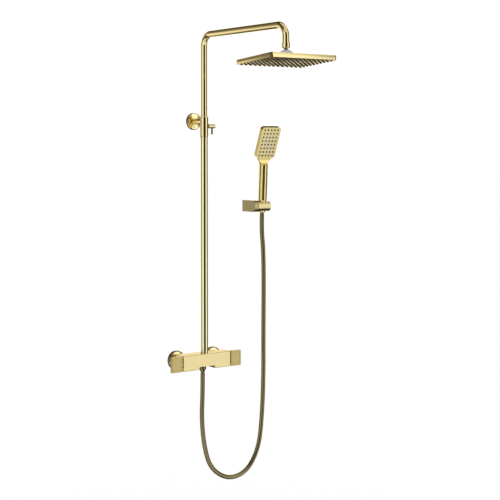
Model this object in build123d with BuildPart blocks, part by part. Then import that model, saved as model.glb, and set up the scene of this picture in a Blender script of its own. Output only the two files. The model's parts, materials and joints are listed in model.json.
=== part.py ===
"""Exposed rainfall shower column: bar mixer, telescopic riser with overhead arm and
rain head, and a hand shower on its own wall holder.

Millimetres, +Z up. X runs along the wall, the wall is the plane Y = 0 and the room is
on the -Y side, so a distance "out" from the wall is a negative Y. The origin lies on
the wall, halfway between the two water inlets.
"""

import os
from math import cos, radians, sin, sqrt, tan

from build123d import *

os.makedirs("parts", exist_ok=True)

# Clearances
seat = 0.1  # between fixed pieces that sit one inside the other
running = 0.05  # round a spindle or a pivot that turns in its bore
slip = 0.3  # between curved faces that move past one another
gap = 0.5  # between flat faces that turn past one another

# Mixer body: a flat bar with soft edges and a notch for the hose outlet
body_length = 191.0
body_depth = 48.0
body_height = 54.0
body_out = 64.0
body_edge = 2.5
notch_width = 64.0
notch_height = 10.0
notch_depth = 44.5
notch_corner = 5.0

# Water inlets at the standard spacing
inlet_spacing = 150.0
inlet_thread_radius = 10.48
inlet_thread_depth = 18.0
connector_length = 27.0
connector_radius = 12.0
connector_bore = 7.0
union_thread_radius = 13.2
union_thread_length = 11.0
rose_radius = 33.0
rose_rim = 11.5
rose_edge = 6.0
rose_wall = 1.4
rose_neck = 3.0
filter_thickness = 2.0
tail_radius = 9.5
tail_bore = 6.5
tail_flange = 3.0
tail_socket = 5.0
union_nut_across = 32.0
union_nut_lip = 3.3

# Cartridges and paddle handles at both ends of the bar
cartridge_radius = 17.8
cartridge_depth = 46.0
cartridge_nut_thread = 6.0
cartridge_nut_radius = 20.0
cartridge_nut_flange = 3.0
spindle_radius = 5.0
spindle_foot = 8.0
handle_gap = 4.0
handle_width = 41.5
handle_thickness = 12.0
handle_corner = 2.0
handle_frame = 5.5
handle_recess = 0.8
hub_radius = 15.0
hub_length = 13.0
hub_bore = 9.0
screw_radius = 2.4
screw_grip = 8.0
screw_head_radius = 4.2
screw_head = 3.0

# Hose outlet under the bar
outlet_out = 58.0
outlet_thread_radius = 10.48
outlet_socket = 12.0
outlet_thread = 10.0
outlet_flange = 2.0
outlet_flange_radius = 12.6
outlet_bore = 6.0
washer_thickness = 2.0
hose_nut_radius = 12.4
hose_nut_floor = 7.0
hose_nut_skirt = 1.0
hose_bore = 4.5
hose_radius = 7.0

# Telescopic riser
riser_out = 70.0
riser_radius = 12.7
riser_bore = 11.5
riser_socket = 18.0
gasket_thickness = 2.0
gasket_bore = 9.0
collar_bottom = 772.0
collar_height = 70.0
collar_radius = 14.6
collar_grip = 23.0
collar_edge = 1.2
seal_rise = 54.0
seal_height = 5.0
seal_depth = 1.7
arm_radius = 11.1
arm_bore = 10.0
arm_height = 1118.0
arm_reach = 468.0
arm_bend = 40.0
arm_drop = 56.0
arm_insert = 232.0
bush_height = 8.0
bush_bore = 8.0

# Lock on the collar
lock_rise = 38.0
lock_thread_radius = 4.0
lock_pad = 1.6
knob_radius = 7.4
knob_length = 28.3
knob_edge = 1.0
lock_pin_radius = 3.1
lock_pin_along = 16.8
lock_pin_depth = 4.0
lock_pin_reach = 28.0

# Wall bracket behind the collar
bracket_rise = 55.0
stem_radius = 10.5
stem_groove = 2.4
stem_groove_depth = 1.5
stem_groove_out = 45.5
stud_radius = 5.0
stud_length = 20.0
wall_plate_radius = 21.0
wall_plate_thickness = 4.0
wall_screw_radius = 2.75
wall_screw_spacing = 28.0
bracket_rose_radius = 29.5
bracket_rose_rim = 8.5
bracket_rose_edge = 5.0
bracket_rose_depth = 12.0
bracket_rose_wall = 1.6

# Ball joint under the end of the arm
fitting_insert = 14.0
fitting_thread = 4.0
fitting_bore = 6.5
ball_drop = 10.5
ball_radius = 8.6
ball_lip = 4.1
swivel_nut_radius = 13.0
swivel_nut_height = 18.7
swivel_nut_chamfer = 3.5
ball_mouth = 8.9
seat_thickness = 2.9
stud_neck_radius = 4.9
stud_collar_radius = 8.3
stud_collar_drop = 12.0
stud_grip = 12.0

# Rain head, hung a little nose up on its ball
head_tilt = 4.3
head_width = 250.0
head_depth = 188.0
head_drop = 36.0
head_thickness = 15.3
head_corner = 6.0
head_wall = 1.6
cover_thickness = 2.0
boss_radius = 24.0
boss_shoulder = 13.5
boss_rise = 21.6
boss_straight = 12.0
nozzle_pitch = 17.5
nozzle_columns = 14
nozzle_rows = 10
nozzle_radius = 2.8
nozzle_length = 2.6
nozzle_gap = 0.15
mat_thickness = 1.8
mat_margin = 4.0

# Wall holder for the hand shower
holder_left = 206.0
holder_width = 16.5
holder_height = 530.0
holder_out = 60.0
holder_radius = 20.0
holder_plate_width = 12.0
holder_plate_height = 34.0
holder_plate_thickness = 4.0
holder_screw_radius = 2.2
holder_screw_spacing = 20.0
pivot_radius = 4.0
pivot_grip = 11.0
pivot_washer = 0.8
pivot_washer_radius = 10.0
cradle_width = 53.2
cradle_hole_along = 26.7
cradle_edge = 1.2
slot_width = 16.0

# Hand shower and the cone nut that rests in the cradle
handset_out = 61.5
handset_lean = 3.0
spray_lean = 22.5
cone_top = 21.5
cone_bottom = 22.0
cone_top_radius = 13.2
cone_bottom_radius = 10.2
cone_cavity = 15.5
handset_thread_radius = 10.48
handset_thread = 16.0
handset_bore = 6.0
grip_radius = 15.5
grip_edge = 1.5
grip_end = 152.0
bend_rise = 171.0
shoulder_drop = 19.0
shoulder_scoop = 14.0
neck_rise = 9.0
neck_width = 71.0
neck_thickness = 11.0
spray_start = 2.0
spray_length = 116.0
spray_width = 80.0
spray_thickness = 14.0
spray_corner = 10.0
spray_edge = 3.0
spray_margin = 4.5
spray_plate = 1.8
spray_mat = 1.4
spray_pitch = 13.7
spray_columns = 5
spray_rows = 8
spray_nozzle_radius = 1.9
spray_nozzle_length = 1.1

# Route of the hose from the outlet nut to the cone nut, without its two ends
hose_route = [
    (0, -58, -110),
    (-5, -58, -209),
    (6, -58, -310),
    (33, -58, -392),
    (107, -59, -441),
    (188, -60, -424),
    (238, -61, -343),
    (251, -62, -226),
    (257, -62, -80),
    (256, -62, 85),
    (257, -62, 245),
    (256, -61, 370),
]
hose_end_run = 60.0

# Places that follow from the sizes
body_end = body_length / 2
body_back = body_out - body_depth / 2
body_front = body_out + body_depth / 2
body_top = body_height / 2
body_bottom = -body_height / 2
notch_ceiling = body_bottom + notch_height
handle_start = body_end + handle_gap
hub_end = handle_start + hub_length
rose_depth = connector_length - union_thread_length
rose_hole = union_thread_radius + seat
socket_floor = body_top - riser_socket
riser_foot = socket_floor + gasket_thickness
collar_top = collar_bottom + collar_height
riser_top = collar_bottom + collar_grip
collar_bore = arm_radius + slip
seal_bottom = collar_bottom + seal_rise
lock_height = collar_bottom + lock_rise
knob_start = collar_radius + gap
bracket_height = collar_bottom + bracket_rise
arm_foot = collar_top - arm_insert
arm_out = riser_out + arm_reach
arm_end = arm_height - arm_drop
nozzle_reach = head_wall + nozzle_length
holder_right = holder_left + holder_width
cradle_left = holder_right + pivot_washer
cradle_right = cradle_left + cradle_width
cradle_hole = cradle_left + cradle_hole_along


def keep(part, label):
    """Name a finished piece and write it to its own file."""
    part.label = label
    export_step(part, f"parts/{label}.step")


def upright(x, out):
    """Profile plane (radius, height) of a piece turned about a vertical axis."""
    return Plane((x, -out, 0), x_dir=(1, 0, 0), z_dir=(0, -1, 0))


def outward(x, height):
    """Profile plane (radius, Y) of a piece turned about an axis square to the wall."""
    return Plane((x, 0, height), x_dir=(1, 0, 0), z_dir=(0, 0, 1))


def sideways(side, out, height):
    """Profile plane (radius, distance along X) of a piece turned about an axis along
    the wall. side is 1 to count along +X and -1 to count along -X."""
    return Plane((0, -out, height), x_dir=(0, 0, 1), z_dir=(0, side, 0))


def spin(plane):
    """Axis that a profile drawn on one of these planes is turned about."""
    return Axis(plane.origin, plane.y_dir)


# Mixer body
with BuildPart() as mixer_body:
    with BuildSketch(Plane.YZ.offset(-body_end)):
        with Locations((-body_out, 0)):
            RectangleRounded(body_depth, body_height, body_edge)
    extrude(amount=body_length)
    with BuildSketch(Plane.XZ.offset(body_front)):
        with Locations((0, body_bottom)):
            RectangleRounded(notch_width, 2 * notch_height, notch_corner)
    extrude(amount=-notch_depth, mode=Mode.SUBTRACT)
    for side in (-1, 1):
        with BuildSketch(Plane.YZ.offset(side * body_end)):
            with Locations((-body_out, 0)):
                Circle(cartridge_radius + seat)
        extrude(amount=-side * cartridge_depth, mode=Mode.SUBTRACT)
    with BuildSketch(Plane.XZ.offset(body_back)):
        with GridLocations(inlet_spacing, 1, 2, 1):
            Circle(tail_radius + seat)
    extrude(amount=tail_socket, mode=Mode.SUBTRACT)
    with BuildSketch(Plane.XY.offset(body_top)):
        with Locations((0, -riser_out)):
            Circle(riser_radius + seat)
    extrude(amount=-riser_socket, mode=Mode.SUBTRACT)
    with BuildSketch(Plane.XY.offset(notch_ceiling)):
        with Locations((0, -outlet_out)):
            Circle(outlet_thread_radius + seat)
    extrude(amount=outlet_socket, mode=Mode.SUBTRACT)
keep(mixer_body.part, "mixer_body")

# Water inlets: wall connector, rose, filter washer, union tail and union nut
filter_out = connector_length + filter_thickness
flange_out = filter_out + tail_flange
for side, water in ((-1, "hot"), (1, "cold")):
    inlet = outward(side * inlet_spacing / 2, 0)

    with BuildPart() as inlet_connector:
        with BuildSketch(inlet):
            with BuildLine():
                Polyline(
                    (connector_bore, inlet_thread_depth),
                    (inlet_thread_radius, inlet_thread_depth),
                    (inlet_thread_radius, 0),
                    (connector_radius, 0),
                    (connector_radius, -rose_depth),
                    (union_thread_radius, -rose_depth),
                    (union_thread_radius, -connector_length),
                    (connector_bore, -connector_length),
                    close=True,
                )
            make_face()
        revolve(axis=spin(inlet))
    keep(inlet_connector.part, f"inlet_connector_{water}")

    with BuildPart() as inlet_rose:
        with BuildSketch(inlet):
            with BuildLine():
                FilletPolyline(
                    (rose_hole + rose_neck, -rose_depth),
                    (rose_radius, -rose_rim),
                    (rose_radius, 0),
                    radius=rose_edge,
                )
                Polyline((rose_radius, 0), (rose_radius - rose_wall, 0))
                FilletPolyline(
                    (rose_radius - rose_wall, 0),
                    (rose_radius - rose_wall, rose_wall - rose_rim),
                    (rose_hole, rose_wall - rose_depth),
                    radius=rose_edge - rose_wall,
                )
                Polyline(
                    (rose_hole, rose_wall - rose_depth),
                    (rose_hole, -rose_depth),
                    (rose_hole + rose_neck, -rose_depth),
                )
            make_face()
        revolve(axis=spin(inlet))
    keep(inlet_rose.part, f"inlet_rose_{water}")

    with BuildPart() as inlet_filter:
        with BuildSketch(Plane.XZ.offset(connector_length)):
            with Locations((side * inlet_spacing / 2, 0)):
                Circle(connector_radius)
                Circle(tail_bore, mode=Mode.SUBTRACT)
        extrude(amount=filter_thickness)
    keep(inlet_filter.part, f"inlet_filter_{water}")

    with BuildPart() as inlet_tail:
        with BuildSketch(inlet):
            with BuildLine():
                Polyline(
                    (tail_bore, -filter_out),
                    (connector_radius, -filter_out),
                    (connector_radius, -flange_out),
                    (tail_radius, -flange_out),
                    (tail_radius, -body_back - tail_socket),
                    (tail_bore, -body_back - tail_socket),
                    close=True,
                )
            make_face()
        revolve(axis=spin(inlet))
    keep(inlet_tail.part, f"inlet_tail_{water}")

    with BuildPart() as inlet_nut:
        with BuildSketch(Plane.XZ.offset(rose_depth + gap)):
            with Locations((side * inlet_spacing / 2, 0)):
                RegularPolygon(union_nut_across / 2, 6, major_radius=False)
                Circle(union_thread_radius + seat, mode=Mode.SUBTRACT)
        extrude(amount=flange_out - rose_depth - gap)
        with BuildSketch(Plane.XZ.offset(flange_out)):
            with Locations((side * inlet_spacing / 2, 0)):
                RegularPolygon(union_nut_across / 2, 6, major_radius=False)
                Circle(tail_radius + seat, mode=Mode.SUBTRACT)
        extrude(amount=union_nut_lip)
    keep(inlet_nut.part, f"inlet_nut_{water}")

# Cartridges, spindles and paddle handles, temperature on the left and flow on the right
for side, task in ((-1, "temperature"), (1, "flow")):
    bar_axis = sideways(side, body_out, 0)
    cartridge_foot = body_end - cartridge_depth
    spindle_end = handle_start + hub_bore

    with BuildPart() as cartridge:
        with BuildSketch(bar_axis):
            with BuildLine():
                Polyline(
                    (0, cartridge_foot),
                    (cartridge_radius, cartridge_foot),
                    (cartridge_radius, body_end - cartridge_nut_thread),
                    (spindle_radius + running, body_end - cartridge_nut_thread),
                    (spindle_radius + running, cartridge_foot + spindle_foot),
                    (0, cartridge_foot + spindle_foot),
                    close=True,
                )
            make_face()
        revolve(axis=spin(bar_axis))
    keep(cartridge.part, f"{task}_cartridge")

    with BuildPart() as cartridge_nut:
        with BuildSketch(bar_axis):
            with BuildLine():
                Polyline(
                    (spindle_radius + slip, body_end - cartridge_nut_thread),
                    (cartridge_radius, body_end - cartridge_nut_thread),
                    (cartridge_radius, body_end),
                    (cartridge_nut_radius, body_end),
                    (cartridge_nut_radius, body_end + cartridge_nut_flange),
                    (spindle_radius + slip, body_end + cartridge_nut_flange),
                    close=True,
                )
            make_face()
        revolve(axis=spin(bar_axis))
    keep(cartridge_nut.part, f"{task}_cartridge_nut")

    with BuildPart() as spindle:
        with BuildSketch(bar_axis):
            with BuildLine():
                Polyline(
                    (0, cartridge_foot + spindle_foot + slip),
                    (spindle_radius, cartridge_foot + spindle_foot + slip),
                    (spindle_radius, spindle_end),
                    (screw_radius + seat, spindle_end),
                    (screw_radius + seat, spindle_end - screw_grip - gap),
                    (0, spindle_end - screw_grip - gap),
                    close=True,
                )
            make_face()
        revolve(axis=spin(bar_axis))
    keep(spindle.part, f"{task}_spindle")

    with BuildPart() as handle:
        with BuildSketch(Plane.XZ.offset(body_front)):
            with Locations((side * (handle_start + handle_width / 2), 0)):
                RectangleRounded(handle_width, body_height, handle_corner)
        extrude(amount=-handle_thickness)
        with BuildSketch(Plane.YZ.offset(side * handle_start)):
            with Locations((-body_out, 0)):
                Circle(hub_radius)
        extrude(amount=side * hub_length)
        with BuildSketch(Plane.XZ.offset(body_front)):
            with Locations((side * (handle_start + handle_width / 2), 0)):
                Rectangle(handle_width - 2 * handle_frame, body_height - 2 * handle_frame)
        extrude(amount=-handle_recess, mode=Mode.SUBTRACT)
        with BuildSketch(Plane.YZ.offset(side * handle_start)):
            with Locations((-body_out, 0)):
                Circle(spindle_radius + seat)
        extrude(amount=side * hub_bore, mode=Mode.SUBTRACT)
        with BuildSketch(Plane.YZ.offset(side * handle_start)):
            with Locations((-body_out, 0)):
                Circle(screw_radius + seat)
        extrude(amount=side * hub_length, mode=Mode.SUBTRACT)
    keep(handle.part, f"{task}_handle")

    with BuildPart() as handle_screw:
        with BuildSketch(bar_axis):
            with BuildLine():
                Polyline(
                    (0, spindle_end - screw_grip),
                    (screw_radius, spindle_end - screw_grip),
                    (screw_radius, hub_end),
                    (screw_head_radius, hub_end),
                    (screw_head_radius, hub_end + screw_head),
                    (0, hub_end + screw_head),
                    close=True,
                )
            make_face()
        revolve(axis=spin(bar_axis))
    keep(handle_screw.part, f"{task}_handle_screw")

# Hose outlet, its washer and the nut on the end of the hose
outlet = upright(0, outlet_out)
flange_low = notch_ceiling - outlet_flange
thread_low = flange_low - outlet_thread
hose_nut_top = flange_low - gap
hose_nut_step = thread_low - washer_thickness
hose_nut_low = hose_nut_step - hose_nut_floor

with BuildPart() as hose_outlet:
    with BuildSketch(outlet):
        with BuildLine():
            Polyline(
                (outlet_bore, notch_ceiling + outlet_socket),
                (outlet_thread_radius, notch_ceiling + outlet_socket),
                (outlet_thread_radius, notch_ceiling),
                (outlet_flange_radius, notch_ceiling),
                (outlet_flange_radius, flange_low),
                (outlet_thread_radius, flange_low),
                (outlet_thread_radius, thread_low),
                (outlet_bore, thread_low),
                close=True,
            )
        make_face()
    revolve(axis=spin(outlet))
keep(hose_outlet.part, "hose_outlet")

with BuildPart() as outlet_washer:
    with BuildSketch(Plane.XY.offset(hose_nut_step)):
        with Locations((0, -outlet_out)):
            Circle(outlet_thread_radius - seat)
            Circle(hose_bore, mode=Mode.SUBTRACT)
    extrude(amount=washer_thickness)
keep(outlet_washer.part, "outlet_washer")

with BuildPart() as hose_nut:
    with BuildSketch(outlet):
        with BuildLine():
            Polyline(
                (outlet_thread_radius + seat, hose_nut_top),
                (hose_nut_radius, hose_nut_top),
                (hose_nut_radius, hose_nut_step),
                (hose_radius + hose_nut_skirt, hose_nut_low),
                (hose_bore, hose_nut_low),
                (hose_bore, hose_nut_step),
                (outlet_thread_radius + seat, hose_nut_step),
                close=True,
            )
        make_face()
    revolve(axis=spin(outlet))
keep(hose_nut.part, "hose_nut")

# Riser: gasket in the body's socket, lower tube, collar and seal
riser = upright(0, riser_out)

with BuildPart() as riser_gasket:
    with BuildSketch(Plane.XY.offset(socket_floor)):
        with Locations((0, -riser_out)):
            Circle(riser_radius)
            Circle(gasket_bore, mode=Mode.SUBTRACT)
    extrude(amount=gasket_thickness)
keep(riser_gasket.part, "riser_gasket")

with BuildPart() as riser_tube:
    with BuildSketch(Plane.XY.offset(riser_foot)):
        with Locations((0, -riser_out)):
            Circle(riser_radius)
            Circle(riser_bore, mode=Mode.SUBTRACT)
    extrude(amount=riser_top - riser_foot)
keep(riser_tube.part, "riser_tube")

with BuildPart() as riser_collar:
    with BuildSketch(riser):
        with BuildLine():
            Polyline(
                (riser_radius + seat, collar_bottom),
                (collar_radius - collar_edge, collar_bottom),
                (collar_radius, collar_bottom + collar_edge),
                (collar_radius, collar_top - collar_edge),
                (collar_radius - collar_edge, collar_top),
                (collar_bore, collar_top),
                (collar_bore, seal_bottom + seal_height),
                (collar_bore + seal_depth, seal_bottom + seal_height),
                (collar_bore + seal_depth, seal_bottom),
                (collar_bore, seal_bottom),
                (collar_bore, riser_top),
                (riser_radius + seat, riser_top),
                close=True,
            )
        make_face()
    revolve(axis=spin(riser))
    with BuildSketch(Plane.YZ):
        with Locations((-riser_out, lock_height)):
            Circle(lock_thread_radius + seat)
    extrude(amount=collar_radius + gap, mode=Mode.SUBTRACT)
keep(riser_collar.part, "riser_collar")

with BuildPart() as collar_seal:
    with BuildSketch(Plane.XY.offset(seal_bottom)):
        with Locations((0, -riser_out)):
            Circle(collar_bore + seal_depth)
            Circle(arm_radius + running, mode=Mode.SUBTRACT)
    extrude(amount=seal_height)
keep(collar_seal.part, "collar_seal")

# Lock: pad against the sliding tube, threaded knob and the pin that turns it
lock = sideways(1, riser_out, lock_height)

with BuildPart() as clamp_pad:
    with BuildSketch(Plane.YZ.offset(collar_bore)):
        with Locations((-riser_out, lock_height)):
            Circle(lock_thread_radius)
    extrude(amount=lock_pad)
keep(clamp_pad.part, "clamp_pad")

pin_along = knob_start + lock_pin_along
with BuildPart() as lock_knob:
    with BuildSketch(lock):
        with BuildLine():
            Polyline(
                (0, collar_bore + lock_pad + slip),
                (lock_thread_radius, collar_bore + lock_pad + slip),
                (lock_thread_radius, knob_start),
                (knob_radius - knob_edge, knob_start),
                (knob_radius, knob_start + knob_edge),
                (knob_radius, knob_start + knob_length - knob_edge),
                (knob_radius - knob_edge, knob_start + knob_length),
                (0, knob_start + knob_length),
                close=True,
            )
        make_face()
    revolve(axis=spin(lock))
    with BuildSketch(Plane.XY.offset(lock_height - lock_pin_depth)):
        with Locations((pin_along, -riser_out)):
            Circle(lock_pin_radius + seat)
    extrude(amount=-knob_radius, mode=Mode.SUBTRACT)
keep(lock_knob.part, "lock_knob")

with BuildPart() as lock_pin:
    with BuildSketch(Plane.XY.offset(lock_height - lock_pin_depth)):
        with Locations((pin_along, -riser_out)):
            Circle(lock_pin_radius)
    extrude(amount=lock_pin_depth - lock_pin_reach)
    fillet(lock_pin.edges().sort_by(Axis.Z)[0], lock_pin_radius / 3)
keep(lock_pin.part, "lock_pin")

# Wall bracket: plate with its stud, grooved stem and cover rose
bracket = outward(0, bracket_height)
stem_end = riser_out - sqrt(collar_radius**2 - stem_radius**2)
groove_floor = stem_radius - stem_groove_depth

with BuildPart() as bracket_wall_plate:
    with BuildSketch(Plane.XZ):
        with Locations((0, bracket_height)):
            Circle(wall_plate_radius)
            with GridLocations(wall_screw_spacing, 1, 2, 1):
                Circle(wall_screw_radius, mode=Mode.SUBTRACT)
    extrude(amount=wall_plate_thickness)
    with BuildSketch(Plane.XZ.offset(wall_plate_thickness)):
        with Locations((0, bracket_height)):
            Circle(stud_radius)
    extrude(amount=stud_length)
keep(bracket_wall_plate.part, "bracket_wall_plate")

with BuildPart() as bracket_stem:
    with BuildSketch(bracket):
        with BuildLine():
            Polyline(
                (stud_radius + seat, -wall_plate_thickness),
                (stem_radius, -wall_plate_thickness),
                (stem_radius, -stem_groove_out),
                (groove_floor, -stem_groove_out),
                (groove_floor, -stem_groove_out - stem_groove),
                (stem_radius, -stem_groove_out - stem_groove),
                (stem_radius, -stem_end),
                (0, -stem_end),
                (0, -wall_plate_thickness - stud_length - gap),
                (stud_radius + seat, -wall_plate_thickness - stud_length - gap),
                close=True,
            )
        make_face()
    revolve(axis=spin(bracket))
    with BuildSketch(Plane.XY.offset(bracket_height - 2 * stem_radius)):
        with Locations((0, -riser_out)):
            Circle(collar_radius + running)
    extrude(amount=4 * stem_radius, mode=Mode.SUBTRACT)
keep(bracket_stem.part, "bracket_stem")

with BuildPart() as bracket_rose:
    with BuildSketch(bracket):
        with BuildLine():
            bracket_hole = stem_radius + seat
            bracket_inside = bracket_rose_radius - bracket_rose_wall
            FilletPolyline(
                (bracket_hole, -bracket_rose_depth),
                (bracket_rose_radius, -bracket_rose_rim),
                (bracket_rose_radius, 0),
                radius=bracket_rose_edge,
            )
            Polyline((bracket_rose_radius, 0), (bracket_inside, 0))
            FilletPolyline(
                (bracket_inside, 0),
                (bracket_inside, bracket_rose_wall - bracket_rose_rim),
                (bracket_hole, bracket_rose_wall - bracket_rose_depth),
                radius=bracket_rose_edge - bracket_rose_wall,
            )
            Polyline(
                (bracket_hole, bracket_rose_wall - bracket_rose_depth),
                (bracket_hole, -bracket_rose_depth),
            )
        make_face()
    revolve(axis=spin(bracket))
keep(bracket_rose.part, "bracket_rose")

# Telescopic arm: guide bush at its foot and the bent tube
with BuildPart() as guide_bush:
    with BuildSketch(Plane.XY.offset(arm_foot - slip - bush_height)):
        with Locations((0, -riser_out)):
            Circle(riser_bore - slip)
            Circle(bush_bore, mode=Mode.SUBTRACT)
    extrude(amount=bush_height)
keep(guide_bush.part, "guide_bush")

with BuildPart() as arm_tube:
    with BuildLine() as arm_route:
        FilletPolyline(
            (0, -riser_out, arm_foot),
            (0, -riser_out, arm_height),
            (0, -arm_out, arm_height),
            (0, -arm_out, arm_end),
            radius=arm_bend,
        )
    with BuildSketch(Plane.XY.offset(arm_foot)):
        with Locations((0, -riser_out)):
            Circle(arm_radius)
            Circle(arm_bore, mode=Mode.SUBTRACT)
    sweep(path=arm_route.line)
keep(arm_tube.part, "arm_tube")

# Ball joint: fitting in the tube's end, swivel nut, seat ring and ball stud
arm_tip = upright(0, arm_out)
ball_height = arm_end - ball_drop
fitting_low = arm_end - fitting_thread
nut_low = arm_end - swivel_nut_height

with BuildPart() as arm_fitting:
    with BuildSketch(Plane.XY.offset(fitting_low)):
        with Locations((0, -arm_out)):
            Circle(arm_bore - seat)
            Circle(fitting_bore, mode=Mode.SUBTRACT)
    extrude(amount=fitting_thread + fitting_insert)
keep(arm_fitting.part, "arm_fitting")

lip_radius = sqrt(ball_radius**2 - ball_lip**2) + slip
with BuildPart() as swivel_nut:
    with BuildSketch(arm_tip):
        with BuildLine():
            Polyline(
                (arm_bore, arm_end),
                (swivel_nut_radius, arm_end),
                (swivel_nut_radius, nut_low + swivel_nut_chamfer),
                (swivel_nut_radius - swivel_nut_chamfer / 2, nut_low),
                (ball_mouth, nut_low),
                (lip_radius, ball_height - ball_lip),
                (ball_radius + slip, ball_height - ball_lip / 2),
                (arm_bore, ball_height - ball_lip / 2),
                close=True,
            )
        make_face()
    revolve(axis=spin(arm_tip))
keep(swivel_nut.part, "swivel_nut")

seat_low = fitting_low - seat_thickness
with BuildPart() as ball_seat:
    with BuildSketch(Plane.XY.offset(seat_low)):
        with Locations((0, -arm_out)):
            Circle(arm_bore - slip)
            Circle(sqrt(ball_radius**2 - (seat_low - ball_height) ** 2) + slip, mode=Mode.SUBTRACT)
    extrude(amount=seat_thickness)
keep(ball_seat.part, "ball_seat")

# Rain head, drawn about the ball in the head's own tilted frame
tilt = radians(head_tilt)
head_up = (0, sin(tilt), cos(tilt))
head_profile = Plane((0, -arm_out, ball_height), x_dir=(1, 0, 0), z_dir=(0, -cos(tilt), sin(tilt)))
head_level = Plane((0, -arm_out, ball_height), x_dir=(1, 0, 0), z_dir=head_up)
head_top = -head_drop
head_bottom = head_top - head_thickness
boss_top = head_top + boss_rise
neck_low = boss_top - stud_grip

with BuildPart() as ball_stud:
    with BuildSketch(head_profile):
        with BuildLine():
            neck_join = -sqrt(ball_radius**2 - stud_neck_radius**2)
            ThreePointArc((0, ball_radius), (ball_radius, 0), (stud_neck_radius, neck_join))
            Polyline(
                (stud_neck_radius, neck_join),
                (stud_neck_radius, -stud_collar_drop),
                (stud_collar_radius, -stud_collar_drop),
                (stud_collar_radius, boss_top),
                (stud_neck_radius, boss_top),
                (stud_neck_radius, neck_low),
                (0, neck_low),
                (0, ball_radius),
            )
        make_face()
    revolve(axis=spin(head_profile))
keep(ball_stud.part, "ball_stud")

with BuildPart() as head_boss:
    with BuildSketch(head_profile):
        with BuildLine():
            Polyline(
                (0, head_top),
                (boss_radius, head_top),
                (boss_radius, head_top + boss_straight),
                (boss_shoulder, boss_top),
                (stud_neck_radius + seat, boss_top),
                (stud_neck_radius + seat, neck_low),
                (0, neck_low),
                close=True,
            )
        make_face()
    revolve(axis=spin(head_profile))
keep(head_boss.part, "head_boss")

with BuildPart() as head_cover:
    with BuildSketch(head_level.offset(head_top)):
        RectangleRounded(head_width, head_depth, head_corner)
    extrude(amount=-cover_thickness)
keep(head_cover.part, "head_cover")

tray_height = head_thickness - cover_thickness
with BuildPart() as head_face:
    with BuildSketch(head_level.offset(head_bottom)):
        RectangleRounded(head_width, head_depth, head_corner)
    extrude(amount=tray_height)
    with BuildSketch(head_level.offset(head_bottom + head_wall)):
        RectangleRounded(head_width - 2 * head_wall, head_depth - 2 * head_wall, head_corner - head_wall)
    extrude(amount=tray_height, mode=Mode.SUBTRACT)
    with BuildSketch(head_level.offset(head_bottom)):
        with GridLocations(nozzle_pitch, nozzle_pitch, nozzle_columns, nozzle_rows):
            RegularPolygon(nozzle_radius + nozzle_gap, 6)
    extrude(amount=head_wall, mode=Mode.SUBTRACT)
keep(head_face.part, "head_face")

mat_width = head_width - 2 * (head_wall + mat_margin)
mat_depth = head_depth - 2 * (head_wall + mat_margin)
with BuildPart() as head_nozzles:
    with BuildSketch(head_level.offset(head_bottom + head_wall)):
        Rectangle(mat_width, mat_depth)
    extrude(amount=mat_thickness)
    with BuildSketch(head_level.offset(head_bottom + head_wall)):
        with GridLocations(nozzle_pitch, nozzle_pitch, nozzle_columns, nozzle_rows):
            RegularPolygon(nozzle_radius, 6)
    extrude(amount=-nozzle_reach)
keep(head_nozzles.part, "head_nozzles")

# Wall holder: plate screwed to the wall, block, pivot and cradle
holder = sideways(1, holder_out, holder_height)
plate_middle = holder_left + holder_width / 2

with BuildPart() as holder_wall_plate:
    with BuildSketch(Plane.XZ):
        with Locations((plate_middle, holder_height)):
            Rectangle(holder_plate_width, holder_plate_height)
            with GridLocations(1, holder_screw_spacing, 1, 2):
                Circle(holder_screw_radius, mode=Mode.SUBTRACT)
    extrude(amount=holder_plate_thickness)
keep(holder_wall_plate.part, "holder_wall_plate")

with BuildPart() as holder_block:
    with BuildSketch(Plane.YZ.offset(holder_left)):
        with Locations((-holder_out / 2, holder_height)):
            Rectangle(holder_out, 2 * holder_radius)
        with Locations((-holder_out, holder_height)):
            Circle(holder_radius)
    extrude(amount=holder_width)
    with BuildSketch(Plane.XZ):
        with Locations((plate_middle, holder_height)):
            Rectangle(holder_plate_width + 2 * seat, holder_plate_height + 2 * seat)
    extrude(amount=holder_plate_thickness, mode=Mode.SUBTRACT)
    with BuildSketch(Plane.YZ.offset(holder_right)):
        with Locations((-holder_out, holder_height)):
            Circle(pivot_radius + seat)
    extrude(amount=-pivot_grip, mode=Mode.SUBTRACT)
keep(holder_block.part, "holder_block")

with BuildPart() as cradle_pivot:
    with BuildSketch(Plane.YZ.offset(holder_right - pivot_grip)):
        with Locations((-holder_out, holder_height)):
            Circle(pivot_radius)
    extrude(amount=2 * pivot_grip + pivot_washer)
keep(cradle_pivot.part, "cradle_pivot")

with BuildPart() as cradle_washer:
    with BuildSketch(Plane.YZ.offset(holder_right)):
        with Locations((-holder_out, holder_height)):
            Circle(pivot_washer_radius)
            Circle(pivot_radius + seat, mode=Mode.SUBTRACT)
    extrude(amount=pivot_washer - slip)
keep(cradle_washer.part, "cradle_washer")

# Hand shower frame: Z along the grip, Y towards the wall
lean = radians(handset_lean)
grip_up = Vector(0, -sin(lean), cos(lean))
grip_foot = Vector(cradle_hole, -handset_out, holder_height)
grip_profile = Plane(grip_foot, x_dir=(1, 0, 0), z_dir=(0, -cos(lean), -sin(lean)))
grip_level = Plane(grip_foot, x_dir=(1, 0, 0), z_dir=grip_up)
cone_taper = (cone_top_radius - cone_bottom_radius) / (cone_top + cone_bottom)


def cone_radius(rise):
    """Radius of the cone nut at a height along the grip."""
    return cone_bottom_radius + cone_taper * (rise + cone_bottom)


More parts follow.
